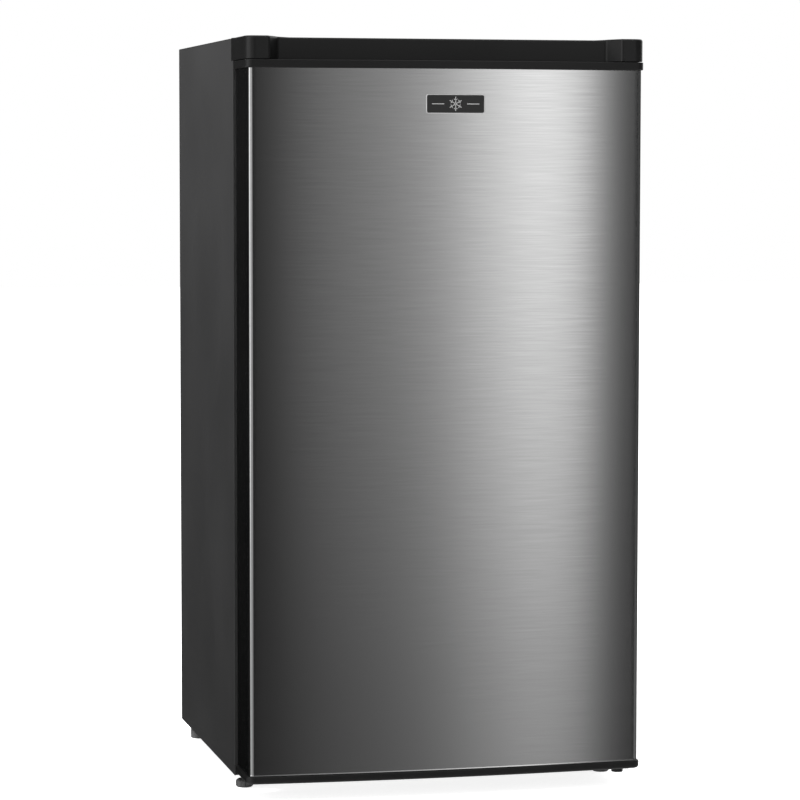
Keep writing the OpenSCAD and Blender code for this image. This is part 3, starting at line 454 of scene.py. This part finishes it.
def build_door_wrap():
    """Painted sheet round the door's sides, behind the steel, with returns at the rear."""
    bm = bmesh.new()
    behind_steel, end_band = 0.0006, 0.02
    rear = door_rear_y - 0.0022
    outline = door_outline(half_width, DOOR_CORNER, behind_steel, rear=rear)
    lip = half_width - 0.018
    outline = [(-lip, rear)] + outline[1:] + outline[:1] + [(lip, rear)]
    z0, z1 = skin_lo.z, skin_hi.z
    rings = [[(x, y, z) for x, y in outline] for z in (z0, z0 + end_band, z1 - end_band, z1)]
    join_rings(bm, rings, closed=False)
    made = make_object("door_wrap", bm, "door_paint", "door", 50.0, sheet_mm=0.5)
    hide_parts("door_skin")


def build_caps():
    """Moulded end caps that stand a little proud of the steel; the upper one has a finger groove."""
    proud, front_part = 0.001, 0.03
    shifted = [(x, y - proud if y < door_rear_y - front_part else y)
               for x, y in door_outline(cap_hi.x, CAP_CORNER)]
    bm = bmesh.new()
    rings = rounded_slab(shifted, foot_cap_lo.z, foot_cap_lo.z + cap_height, 0.0012, 0.0030, 5)
    made = join_rings(bm, rings)
    bm.faces.new(made[0])
    bm.faces.new(made[-1])
    lower = make_object("door_foot_cap", bm, "black_trim", "door", 35.0)
    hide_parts("door_bottom_cap")

    bm = bmesh.new()
    rings = rounded_slab(shifted, cap_hi.z - cap_height, cap_hi.z, 0.0009, 0.0012, 5)
    made = join_rings(bm, rings)
    bm.faces.new(made[0])
    rim = made[-1]
    grip_half = 0.150
    grip = rounded_rect(-grip_half, grip_half, door_edge_y + 0.002, door_edge_y + 0.024, 0.006, 4)
    # Rings of the groove: depth and inset
    depths = ((0.0, -0.0012), (-0.0004, -0.0004), (-0.0012, 0.0),
              (-0.014, 0.0015), (-0.0172, 0.003), (-0.018, 0.006))
    wells = [[(x, y, cap_hi.z + dz) for x, y in inset_outline(grip, d)] for dz, d in depths]
    inner = join_rings(bm, wells)
    bm.faces.new(inner[-1])
    border = [bm.edges.get((rim[k], rim[(k + 1) % len(rim)])) for k in range(len(rim))]
    mouth = inner[0]
    border += [bm.edges.get((mouth[k], mouth[(k + 1) % len(mouth)])) for k in range(len(mouth))]
    bmesh.ops.triangle_fill(bm, use_beauty=True, edges=border)
    upper = make_object("door_head_cap", bm, "black_trim", "door", 35.0)
    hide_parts("door_top_cap")


def trim_step():
    """Front line of the trim's right half, as x and how far it stands back from the ears."""
    depth, start, fillet, tilt = 0.020, 0.186, 0.004, math.radians(57)
    arc_steps = 5
    run = (depth - 2 * fillet * (1 - math.cos(tilt))) / math.tan(tilt)
    points = [(0.05, depth), (0.10, depth), (0.15, depth), (0.175, depth)]
    for k in range(arc_steps + 1):
        a = tilt * k / arc_steps
        points.append((start + fillet * math.sin(a), depth - fillet * (1 - math.cos(a))))
    end = start + 2 * fillet * math.sin(tilt) + run
    for k in range(arc_steps, -1, -1):
        a = tilt * k / arc_steps
        points.append((end - fillet * math.sin(a), fillet * (1 - math.cos(a))))
    return points


def build_trim():
    """Hood over the door: ears at both ends, a middle that stands back, a hollow underside."""
    half, ear_y, rear = cap_hi.x, trim_lo.y, front_y
    corner, corner_steps = 0.012, 8
    side_y = ear_y + corner
    shares = (1.0, 0.75, 0.5, 0.25, 0.0)
    outline = [(-half, side_y + (rear - side_y) * t) for t in shares]
    for k in range(1, corner_steps + 1):
        a = math.pi + math.pi / 2 * k / corner_steps
        outline.append((-half + corner + corner * math.cos(a), side_y + corner * math.sin(a)))
    step = trim_step()
    outline += [(-x, ear_y + d) for x, d in reversed(step)] + [(0.0, ear_y + step[0][1])]
    outline += [(x, ear_y + d) for x, d in step]
    outline += [(-x, y) for x, y in reversed(outline[:len(shares) + corner_steps])]
    front_count = len(outline)
    first, last = len(shares) - 1, front_count - len(shares)
    outline += [(x, rear) for x, _ in reversed(outline[first + 1:last])]
    z_low = trim_lo.z - 0.0007
    dip, dip_half, dip_fade, rear_flat, rear_fade = 0.0011, 0.196, 0.020, 0.004, 0.012

    def lowered(x, y, z):
        """The middle of the top lies a little lower than the ears."""
        t = min(max((dip_half - abs(x)) / dip_fade, 0.0), 1.0)
        depth = min(max((rear - rear_flat - y) / rear_fade, 0.0), 1.0)
        share = (z - z_low) / (trim_hi.z - z_low)
        return (x, y, z - dip * share * depth * t * t * (3 - 2 * t))

    def flush(ring):
        """Keeps the rear edge on the plane of the cabinet's front."""
        return [(x, rear if at[1] == rear else y, z) for (x, y, z), at in zip(ring, outline)]

    bm = bmesh.new()
    rings = [flush(ring) for ring in rounded_slab(outline, z_low, trim_hi.z, 0.0025, 0.0004, 5)]
    made = join_rings(bm, [[lowered(*p) for p in ring] for ring in rings])
    # The top is a grid of quads from the front edge to the rear edge
    top = made[-1]
    columns = [top[first::-1]]
    for k in range(first + 1, last):
        x, y = top[k].co.x, top[k].co.y
        column = [top[k]]
        for t in shares[-2:0:-1]:
            column.append(bm.verts.new(lowered(x, y + (rear - y) * t, trim_hi.z)))
        columns.append(column + [top[front_count + last - 1 - k]])
    columns.append(top[last:front_count])
    for a, b in zip(columns, columns[1:]):
        for k in range(len(a) - 1):
            bm.faces.new((a[k], b[k], b[k + 1], a[k + 1]))
    # Hollow underside
    wall, roof_thick = 0.0025, 0.0035
    inner = inset_outline(outline, wall)
    lip = [bm.verts.new((x, y, z_low)) for x, y in inner]
    roof = [bm.verts.new((x, y, trim_hi.z - roof_thick)) for x, y in inner]
    count = len(outline)
    for k in range(count):
        n = (k + 1) % count
        bm.faces.new((made[0][k], made[0][n], lip[n], lip[k]))
        bm.faces.new((lip[k], lip[n], roof[n], roof[k]))
    bm.faces.new(roof)
    hood = make_object("head_trim", bm, "black_trim", "cabinet", 28.0)
    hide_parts("top_trim")


def build_badge():
    """Badge plate with a raised bright rim and a plain six-armed snowflake."""
    lo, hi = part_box("door_badge")
    centre = (lo + hi) / 2
    width, height = hi.x - lo.x, hi.z - lo.z

    def plate(name, inset, front, back, radius, slot_name, material=None):
        bm = bmesh.new()
        half_x, half_z = width / 2 - inset, height / 2 - inset
        rect = rounded_rect(-half_x, half_x, -half_z, half_z, radius, 5)
        rings = []
        for d, y in ((0.0, back), (0.0, front + 0.0002), (0.0002, front)):
            rings.append([(centre.x + x, y, centre.z + z) for x, z in inset_outline(rect, d)])
        made = join_rings(bm, rings)
        bm.faces.new(made[0])
        bm.faces.new(made[-1])
        return make_object(name, bm, slot_name, "door", 30.0, material)

    front = lo.y
    rim = plate("badge_rim", 0.0, front + 0.0002, hi.y, 0.0025, "badge_metal", "bright_metal")
    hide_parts("door_badge")
    plate("badge_plate", 0.0009, front, hi.y, 0.0018, "badge_metal")
    bm = bmesh.new()

    def bar(x0, z0, x1, z1, thick):
        """A flat raised bar between two points of the plate."""
        a, b = Vector((x0, 0, z0)), Vector((x1, 0, z1))
        across = (b - a).normalized().cross(Vector((0, 1, 0))) * thick / 2
        corners = [c + centre for c in (a + across, b + across, b - across, a - across)]
        levels = (front + 0.0001, front - 0.00002)
        made = join_rings(bm, [[(c.x, y, c.z) for c in corners] for y in levels])
        bm.faces.new(made[0])
        bm.faces.new(made[-1])

    reach = height * 0.36
    for k in range(6):
        a = math.radians(60 * k + 30)
        ux, uz = math.cos(a), math.sin(a)
        bar(0, 0, reach * ux, reach * uz, 0.0008)
        for side in (-1, 1):
            b = a + side * math.radians(60)
            px, pz = 0.55 * reach * ux, 0.55 * reach * uz
            bar(px, pz, px + 0.3 * reach * math.cos(b), pz + 0.3 * reach * math.sin(b), 0.0007)
    # A short dash on each side of the snowflake
    for side in (-1, 1):
        bar(side * 0.013, 0, side * 0.027, 0, 0.0008)
    make_object("badge_snowflake", bm, "badge_metal", "door", 30.0, "bright_metal")


build_steel_front()
build_door_wrap()
build_caps()
build_trim()
build_badge()


# ---------------------------------------------------------------- door, inside

def ring_xz(x_half, z0, z1, radius, y, steps=6):
    """An upright rounded rectangle at depth y."""
    return [(x, y, z) for x, z in rounded_rect(-x_half, x_half, z0, z1, radius, steps)]


def build_door_liner():
    """Moulded inner face: flat edge, a rim that enters the cabinet, a deep recess for the bins."""
    flat_y = door_rear_y
    rim_y = liner_hi.y
    recess_y = liner_lo.y + 0.002
    rim_x, wall_x = 0.180, 0.160
    rim_z0, rim_z1 = 0.068, 0.782
    wall_z0, wall_z1 = 0.086, 0.764
    bm = bmesh.new()
    # The flat edge, as depth behind its face and inset
    rings = []
    for back, d in ((0.0015, 0.0), (0.0004, 0.0), (0.0, 0.0004)):
        rings.append(ring_xz(liner_hi.x - d, liner_lo.z + d, liner_hi.z - d, 0.004, flat_y - back))

    def arc_rings(x, z0, z1, corner, y, r, start, end, steps=5):
        """Rings through a quarter turn of radius r, from one angle in degrees to the other."""
        for k in range(steps + 1):
            a = math.radians(start + (end - start) * k / steps)
            d = r * math.cos(a)
            corner_r = max(corner + d, 0.001)
            rings.append(ring_xz(x + d, z0 - d, z1 + d, corner_r, y + r * math.sin(a)))

    foot, r = 0.003, 0.006
    arc_rings(rim_x + foot, rim_z0 - foot, rim_z1 + foot, 0.011, flat_y + foot, foot, 270, 180)
    arc_rings(rim_x - r, rim_z0 + r, rim_z1 - r, 0.005, rim_y - r, r, 0, 90)
    arc_rings(wall_x + r, wall_z0 - r, wall_z1 + r, 0.016, rim_y - r, r, 90, 180)
    arc_rings(wall_x - r, wall_z0 + r, wall_z1 - r, 0.004, recess_y + r, r, 360, 270)
    made = join_rings(bm, rings)
    bm.faces.new(made[-1])
    # Lugs on both walls that the bins rest on
    for side in (-1, 1):
        for z_top in (0.1878, 0.3918, 0.5778):
            rect = rounded_rect(recess_y + 0.012, recess_y + 0.040, z_top - 0.012, z_top, 0.003, 3)
            levels = []
            for inwards, d in ((-0.0005, -0.001), (0.0020, 0.0), (0.0030, 0.001)):
                levels.append([(side * (wall_x - inwards), y, z) for y, z in inset_outline(rect, d)])
            made = join_rings(bm, levels)
            bm.faces.new(made[-1])
    made = make_object("door_inner_face", bm, "white_liner", "door", 40.0, sheet_mm=1.0)
    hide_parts("door_liner")


def build_gasket():
    """Magnetic seal: foot, bellows and flat magnet face, mitred round the door."""
    lo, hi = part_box("door_gasket")
    base, face = lo.y, hi.y
    width = 0.018
    # Cross-section, as distance from the outer edge and depth: outer side, face, inner side
    profile = [(0.0015, base), (0.0015, base + 0.0030), (0.0035, base + 0.0042),
               (0.0035, base + 0.0052), (0.0008, base + 0.0066), (0.0, base + 0.0085)]
    profile += [(0.0, face - 0.0010), (0.0008, face - 0.0002), (0.0016, face),
                (width - 0.0016, face), (width - 0.0008, face - 0.0002), (width, face - 0.0010)]
    profile += [(width, face - 0.0032), (width - 0.0015, face - 0.0040),
                (width - 0.0050, base + 0.0070), (width - 0.0062, base + 0.0050),
                (width - 0.0040, base + 0.0035), (width - 0.0020, base + 0.0030),
                (width - 0.0020, base)]
    bm = bmesh.new()
    rings = []
    for d, y in profile:
        rings.append(ring_xz(hi.x - d, lo.z + d, hi.z - d, max(0.004 - d, 0.0005), y, 3))
    ring = join_rings(bm, rings)
    for k in range(len(ring[0])):
        n = (k + 1) % len(ring[0])
        bm.faces.new((ring[-1][k], ring[-1][n], ring[0][n], ring[0][k]))
    made = make_object("door_seal", bm, "gasket", "door", 35.0)
    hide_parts("door_gasket")


def open_tray(bm, x0, x1, y0, y1, z0, z1, wall, corner, floor_r, lip=0.0):
    """Rounded box that is open on top, with wall thickness and a rounded rim."""
    rings = []
    steps = 5

    def add(d, z, corner_r):
        rect = rounded_rect(x0 + d, x1 - d, y0 + d, y1 - d, max(corner_r, 0.0005), 6)
        rings.append([(x, y, z) for x, y in rect])

    for k in range(steps + 1):
        a = math.pi / 2 * k / steps
        d = floor_r * (1 - math.sin(a))
        add(d, z0 + floor_r * (1 - math.cos(a)), corner - d)
    if lip:
        add(0.0, z1 - 0.010, corner)
        add(-lip, z1 - 0.008, corner)
        add(-lip, z1 - 0.0006, corner)
    else:
        add(0.0, z1 - 0.0006, corner)
    add(0.0002 - lip, z1 - 0.0002, corner)
    add(0.0006 - lip, z1, corner)
    add(wall - 0.0006, z1, corner - wall)
    add(wall - 0.0002, z1 - 0.0002, corner - wall)
    add(wall, z1 - 0.0006, corner - wall)
    inner_r = max(floor_r - wall, 0.0015)
    for k in range(steps + 1):
        a = math.pi / 2 * (1 - k / steps)
        d = wall + inner_r * (1 - math.sin(a))
        add(d, z0 + wall + inner_r * (1 - math.cos(a)), corner - d)
    made = join_rings(bm, rings)
    bm.faces.new(made[0])
    bm.faces.new(made[-1])


# Lower edge and height of each bin
BINS = ((0.094, 0.098), (0.330, 0.066), (0.520, 0.062))


def build_bins():
    """Clear door bins, each with a rail on both sides that sits on the liner's lugs."""
    lo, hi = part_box("door_bins")
    bin_x = 0.156
    bm = bmesh.new()
    for z0, height in BINS:
        open_tray(bm, -bin_x, bin_x, lo.y, hi.y, z0, z0 + height, 0.0025, 0.010, 0.006)
        for side in (-1, 1):
            z1 = z0 + height
            rect = rounded_rect(lo.y + 0.011, lo.y + 0.040, z1 - 0.004, z1, 0.001, 2)
            rings = [[(side * (bin_x + d), y, z) for y, z in rect] for d in (-0.0005, 0.0024)]
            ring = join_rings(bm, rings)
            bm.faces.new(ring[0])
            bm.faces.new(ring[-1])
    made = make_object("door_pockets", bm, "clear_plastic", "door", 35.0)
    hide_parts("door_bins")


build_door_liner()
build_gasket()
build_bins()


# ---------------------------------------------------------------- cabinet, inside

def build_cabinet_liner():
    """Vacuum-formed tub with its step over the compressor, ledges and a front flange."""
    lo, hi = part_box("inner_liner")
    cav_x, cav_z0, cav_z1 = hi.x - 0.010, lo.z + 0.010, hi.z - 0.010
    back = hi.y - 0.002
    step_y, step_z = 0.058, 0.250
    bm = bmesh.new()
    profile = [(front_y, cav_z0), (step_y, cav_z0), (step_y, step_z),
               (back, step_z), (back, cav_z1), (front_y, cav_z1)]
    left = [bm.verts.new((-cav_x, y, z)) for y, z in profile]
    right = [bm.verts.new((cav_x, y, z)) for y, z in profile]
    count = len(profile)
    for k in range(count - 1):
        bm.faces.new((left[k], left[k + 1], right[k + 1], right[k]))
    bm.faces.new(left)
    bm.faces.new(right)
    bmesh.ops.recalc_face_normals(bm, faces=bm.faces)
    inside = [e for e in bm.edges if len(e.link_faces) == 2]
    bmesh.ops.bevel(bm, geom=inside, offset=0.005, segments=4, profile=0.5, affect="EDGES",
                    clamp_overlap=True)
    rim_edges = [e for e in bm.edges if len(e.link_faces) == 1]
    flange = bmesh.ops.extrude_edge_only(bm, edges=rim_edges)
    moved = [v for v in flange["geom"] if isinstance(v, bmesh.types.BMVert)]
    grow_x = hi.x / cav_x
    mid_z = (cav_z0 + cav_z1) / 2
    grow_z = (hi.z - mid_z) / (cav_z1 - mid_z)
    for v in moved:
        v.co.x *= grow_x
        v.co.z = mid_z + (v.co.z - mid_z) * grow_z
        v.co.y = front_y - 0.00005
    # Moulded ledges under the shelves, the drawer's cover and the drip tray
    for node_name in ("upper_shelf_glass", "lower_shelf_glass", "crisper_cover_glass", "drip_tray"):
        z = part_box(node_name)[0].z
        for side in (-1, 1):
            rect = rounded_rect(front_y + 0.094, back + 0.001, z - 0.008, z - 0.0002, 0.0025, 3)
            rings = []
            for x, d in ((cav_x + 0.0005, 0.0), (cav_x - 0.0115, 0.0), (cav_x - 0.012, 0.0006)):
                rings.append([(side * x, y, zz) for y, zz in inset_outline(rect, d)])
            ring = join_rings(bm, rings)
            bm.faces.new(ring[-1])
    made = make_object("cabinet_tub", bm, "white_liner", "cabinet", 40.0, sheet_mm=1.0)
    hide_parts("inner_liner")


def build_drawer():
    """Clear vegetable drawer with a rail on both sides and a grip."""
    lo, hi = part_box("crisper_drawer")
    x = 0.172
    bm = bmesh.new()
    y0, y1 = front_y + 0.087, hi.y
    open_tray(bm, -x, x, y0, y1, lo.z, hi.z, 0.0025, 0.012, 0.008)
    for side in (-1, 1):
        rect = rounded_rect(y0 + 0.006, y1 - 0.006, hi.z - 0.004, hi.z - 0.0003, 0.001, 2)
        rings = [[(side * (x + d), y, z) for y, z in rect] for d in (-0.0008, 0.0030)]
        ring = join_rings(bm, rings)
        bm.faces.new(ring[0])
        bm.faces.new(ring[-1])
    # Grip: a block with an eased front face
    outer = rounded_rect(-0.070, 0.070, hi.z - 0.030, hi.z - 0.004, 0.006, 4)
    rings = [[(px, y0 + 0.0004, pz) for px, pz in outer],
             [(px, y0 - 0.0115, pz) for px, pz in outer],
             [(px, y0 - 0.0133, pz) for px, pz in inset_outline(outer, 0.0008)],
             [(px, y0 - 0.0140, pz) for px, pz in inset_outline(outer, 0.0026)]]
    ring = join_rings(bm, rings)
    bm.faces.new(ring[0])
    bm.faces.new(ring[-1])
    made = make_object("salad_drawer", bm, "clear_plastic", "crisper", 35.0)
    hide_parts("crisper_drawer")


def build_ice_box():
    """Roll-bonded sleeve: rounded corners, thin sheet, raised channels round it."""
    lo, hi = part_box("ice_box")
    z0, z1 = hi.z - 0.098, hi.z
    y0, y1 = lo.y, hi.y
    sheet = 0.0015
    bm = bmesh.new()
    outer = rounded_rect(lo.x, hi.x, z0, z1, 0.012, 6)
    inner = inset_outline(outer, sheet)
    rings = [[(x, y1 - sheet, z) for x, z in inner], [(x, y0 + 0.0003, z) for x, z in inner],
             [(x, y0, z) for x, z in inset_outline(outer, sheet * 0.7)],
             [(x, y0, z) for x, z in inset_outline(outer, sheet * 0.3)],
             [(x, y0 + 0.0003, z) for x, z in outer], [(x, y1, z) for x, z in outer]]
    made = join_rings(bm, rings)
    bm.faces.new(made[0])
    bm.faces.new(made[-1])
    box = make_object("ice_sleeve", bm, "roll_bond", "cabinet", 35.0)
    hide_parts("ice_box")
    mid = inset_outline(outer, sheet * 0.5)
    closed = mid + [mid[0]]
    runs, margin = 7, 0.022
    for k in range(runs):
        y = y0 + margin + k * (y1 - y0 - 2 * margin) / (runs - 1)
        loop_path = [(x, y, z) for x, z in closed]
        tube(f"ice_channel_{k}", loop_path, 0.0021, "roll_bond", "cabinet", 8)


def build_condenser():
    """Tube of the condenser: level runs joined by half-round bends at alternate ends."""
    lo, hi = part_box("condenser_tube")
    radius = 0.0024
    y = (lo.y + hi.y) / 2
    pitch, runs, bend_steps = 0.042, 14, 10
    bend = pitch / 2
    x_end = hi.x - radius
    z0 = lo.z + radius
    path = [(-x_end + bend, y, z0)]
    for i in range(runs - 1):
        s = 1 if i % 2 == 0 else -1
        z = z0 + i * pitch
        for k in range(bend_steps + 1):
            a = math.pi * k / bend_steps
            path.append((s * (x_end - bend + bend * math.sin(a)), y, z + bend - bend * math.cos(a)))
    path.append((-x_end + bend, y, z0 + (runs - 1) * pitch))
    made = tube("condenser_pipe", path, radius, "condenser_paint", "cabinet", 12)
    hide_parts("condenser_tube")


build_cabinet_liner()
build_drawer()
build_ice_box()
build_condenser()

# Rounding of the CAD nodes that are shown: radius in mm, segments and the nodes
SOFTENED = (
    (0.25, 2, ("hinge_screws",)),
    (0.3, 2, ("compartment_panel", "front_foot_left", "front_foot_right", "rear_feet")),
    (0.35, 2, ("top_panel", "front_crossbar")),
    (0.4, 2, ("lamp_lens", "compressor_base", "ice_box_hangers")),
    (0.5, 2, ("base_rails", "top_hinge_bracket", "thermostat_knob", "door_switch_plunger",
              "compressor", "cord_gland", "thermostat_control")),
    (0.6, 2, ("bottom_hinge_bracket", "upper_shelf_glass", "lower_shelf_glass",
              "crisper_cover_glass", "compressor_grommets")),
    (0.7, 2, ("upper_shelf_trim", "lower_shelf_trim", "crisper_cover_trim", "drip_tray",
              "evaporation_tray")),
    (0.8, 2, ("door_switch_housing", "condenser_brackets")),
    (0.9, 3, ("thermostat_housing",)),
    (1.0, 3, ("ice_box_flap",)),
    (1.2, 2, ("wall_spacers",)),
    (1.2, 3, ("side_panel_left", "side_panel_right")),
    (1.5, 3, ("ice_box_frame",)),
    (1.8, 3, ("terminal_cover",)),
    (6.0, 3, ("door_foam",)),
)
for radius_mm, segments, names in SOFTENED:
    for name in names:
        soften(name, radius_mm, segments)


# ---------------------------------------------------------------- studio

# What the gloss of the pieces reflects, by azimuth in degrees from the front towards +X: a softbox
# at the left side, a weaker fill to the front left, the narrow softbox at 16 to 22 degrees that
# the steel face shows, and a softbox behind to the right.
SOFTBOX_STOPS = (
    (-180, 0.01), (-120, 0.01), (-99, 0.2), (-91, 1.7), (-56, 1.7), (-49, 0.9), (-43, 0.60),
    (-33, 0.60), (-25, 0.75), (-18, 0.50), (-11, 0.20), (-5, 0.05), (-1, 0.01), (2, 0.02),
    (4, 0.16), (7, 0.28), (10, 0.37), (13, 0.54), (16, 0.98), (19.5, 1.52), (22, 1.50),
    (24, 0.34), (25.5, 0.01), (32, 0.05), (60, 0.09), (98, 0.03), (122, 1.2), (150, 0.8),
    (180, 0.01))
# Their strength by height, as the sine of the elevation
HEIGHT_STOPS = (
    (-1.0, 0.10), (-0.40, 0.10), (-0.26, 0.06), (-0.19, 0.19), (-0.12, 0.45), (-0.05, 0.82),
    (0.01, 1.0), (0.3, 1.0), (0.7, 0.7), (1.0, 0.5))

# The rest of the room by height: a pale floor well below and a pale ceiling well above
ROOM_STOPS = (
    (-1.0, 0.60), (-0.60, 0.50), (-0.43, 0.28), (-0.29, 0.002), (0.45, 0.002), (0.70, 0.30),
    (1.0, 0.5))

# The floor around the object, seen low in the reflections outside the steel's own view: its
# strength by azimuth, then by height
LOW_STOPS = (
    (-180, 0.0), (-150, 0.0), (-125, 0.60), (-30, 0.60), (-10, 0.0), (28, 0.0), (42, 0.60),
    (140, 0.60), (160, 0.0), (180, 0.0))
LOW_HEIGHT_STOPS = (
    (-1.0, 0.2), (-0.60, 0.5), (-0.30, 1.0), (-0.18, 0.12), (-0.08, 0.0), (1.0, 0.0))

# Diffuse light from all round: its strength at the horizon, and what it gains towards the zenith
DOME_LEVEL, DOME_SLOPE = 0.72, 0.42


def build_world():
    """White behind the object, softboxes in its reflections, and a soft dome as its diffuse light."""
    world = bpy.data.worlds.new("studio")
    world.use_nodes = True
    scene.world = world
    nodes, links = world.node_tree.nodes, world.node_tree.links
    nodes.clear()
    coords = nodes.new("ShaderNodeTexCoord")
    split = nodes.new("ShaderNodeSeparateXYZ")
    links.new(coords.outputs["Generated"], split.inputs["Vector"])

    def op(kind, *values):
        """A math node whose inputs are numbers or other nodes' outputs."""
        made = nodes.new("ShaderNodeMath")
        made.operation = kind
        for k, v in enumerate(values):
            if isinstance(v, (int, float)):
                made.inputs[k].default_value = v
            else:
                links.new(v, made.inputs[k])
        return made.outputs[0]

    def profile(source, stops, low, high):
        """A smooth curve through the stops, as a colour ramp scaled by its highest value."""
        peak = max(v for _, v in stops)
        ramp = nodes.new("ShaderNodeValToRGB")
        ramp.color_ramp.interpolation = "EASE"
        elements = ramp.color_ramp.elements
        for k, (at, v) in enumerate(stops):
            place = (at - low) / (high - low)
            element = elements[k] if k < 2 else elements.new(place)
            element.position = place
            element.color = (v / peak, v / peak, v / peak, 1)
        links.new(op("DIVIDE", op("SUBTRACT", source, low), high - low), ramp.inputs["Fac"])
        return op("MULTIPLY", ramp.outputs["Color"], peak)

    front = op("MULTIPLY", split.outputs["Y"], -1.0)
    azimuth = op("MULTIPLY", op("ARCTAN2", split.outputs["X"], front), 180 / math.pi)
    level = split.outputs["Z"]
    around = profile(azimuth, SOFTBOX_STOPS, -180, 180)
    height = profile(level, HEIGHT_STOPS, -1.0, 1.0)
    room = profile(level, ROOM_STOPS, -1.0, 1.0)
    low_around = profile(azimuth, LOW_STOPS, -180, 180)
    low_height = profile(level, LOW_HEIGHT_STOPS, -1.0, 1.0)
    floor_part = op("MULTIPLY", low_around, low_height)
    gloss = op("ADD", op("MULTIPLY_ADD", around, height, room), floor_part)
    dome = op("MULTIPLY_ADD", level, DOME_SLOPE, DOME_LEVEL)

    path = nodes.new("ShaderNodeLightPath")
    strength = nodes.new("ShaderNodeMix")
    strength.data_type = "FLOAT"
    links.new(path.outputs["Is Diffuse Ray"], strength.inputs["Factor"])
    links.new(gloss, strength.inputs[2])
    links.new(dome, strength.inputs[3])
    seen = nodes.new("ShaderNodeMix")
    seen.data_type = "FLOAT"
    links.new(path.outputs["Is Camera Ray"], seen.inputs["Factor"])
    links.new(strength.outputs[0], seen.inputs[2])
    seen.inputs[3].default_value = 1.0
    background = nodes.new("ShaderNodeBackground")
    background.inputs["Color"].default_value = (1, 1, 1, 1)
    links.new(seen.outputs[0], background.inputs["Strength"])
    output = nodes.new("ShaderNodeOutputWorld")
    links.new(background.outputs[0], output.inputs["Surface"])


def area_light(name, place, aim, width, height, watts):
    """A rectangular lamp that shows neither to the camera nor in reflections."""
    data = bpy.data.lights.new(name, "AREA")
    data.shape = "RECTANGLE"
    data.size, data.size_y = width, height
    data.energy = watts
    made = bpy.data.objects.new(name, data)
    scene.collection.objects.link(made)
    made.location = place
    direction = Vector(aim) - Vector(place)
    made.rotation_euler = direction.to_track_quat("-Z", "Y").to_euler()
    made.visible_camera = False
    made.visible_glossy = False


FLOOR_HALF = 14.0
FLOOR_CUTS = 8
FLOOR_GLOW = 0.85


def build_floor():
    """White paper on the floor. Its glow is seen by the camera only and lights nothing."""
    bm = bmesh.new()
    lines = [FLOOR_HALF * (2 * k / FLOOR_CUTS - 1) for k in range(FLOOR_CUTS + 1)]
    grid = [[bm.verts.new((x, y, 0.0)) for x in lines] for y in lines]
    for j in range(FLOOR_CUTS):
        for i in range(FLOOR_CUTS):
            bm.faces.new((grid[j][i], grid[j][i + 1], grid[j + 1][i + 1], grid[j + 1][i]))
    mesh = bpy.data.meshes.new("floor")
    bm.to_mesh(mesh)
    bm.free()
    floor = bpy.data.objects.new("floor", mesh)
    scene.collection.objects.link(floor)
    material, nodes, links = new_material("floor_paper")
    shader = nodes["Principled BSDF"]
    shader.inputs["Roughness"].default_value = 0.9
    shader.inputs["Specular IOR Level"].default_value = 0.1
    paper = noise_source(nodes, links, 3.0, 3.0)
    links.new(tinted(nodes, links, paper, tone(0.83), tone(0.85)), shader.inputs["Base Color"])
    glow = nodes.new("ShaderNodeEmission")
    glow.inputs["Color"].default_value = (1, 1, 1, 1)
    glow.inputs["Strength"].default_value = FLOOR_GLOW
    path = nodes.new("ShaderNodeLightPath")
    seen = nodes.new("ShaderNodeMixShader")
    dark = nodes.new("ShaderNodeEmission")
    dark.inputs["Strength"].default_value = 0.0
    links.new(path.outputs["Is Camera Ray"], seen.inputs[0])
    links.new(dark.outputs[0], seen.inputs[1])
    links.new(glow.outputs[0], seen.inputs[2])
    total = nodes.new("ShaderNodeAddShader")
    links.new(shader.outputs[0], total.inputs[0])
    links.new(seen.outputs[0], total.inputs[1])
    links.new(total.outputs[0], nodes["Material Output"].inputs["Surface"])
    mesh.materials.append(material)
    floor.visible_glossy = False


def build_camera():
    """The photograph's view, from the front left and a little above. Angles are in radians."""
    data = bpy.data.cameras.new("camera")
    data.sensor_width = 36.0
    data.lens = 142.8
    data.clip_start = 0.05
    data.clip_end = 100.0
    made = bpy.data.objects.new("camera", data)
    scene.collection.objects.link(made)
    scene.camera = made
    yaw, pitch, roll = 0.22817, 0.07547, 0.00117
    level = math.cos(pitch)
    forward = Vector((math.sin(yaw) * level, math.cos(yaw) * level, -math.sin(pitch)))
    made.location = (-0.8503, -3.6651, 0.7143)
    turn = forward.to_track_quat("-Z", "Y").to_matrix().to_4x4() @ Matrix.Rotation(roll, 4, "Z")
    made.rotation_euler = turn.to_euler()


build_world()
build_floor()
build_camera()
area_light("key_top", (0.4, -1.6, 2.6), (0.0, -0.1, 0.5), 1.6, 1.2, 30.0)
area_light("fill_left", (-0.95, 0.08, 1.30), (-0.2, 0.05, 0.66), 0.5, 0.5, 26.0)
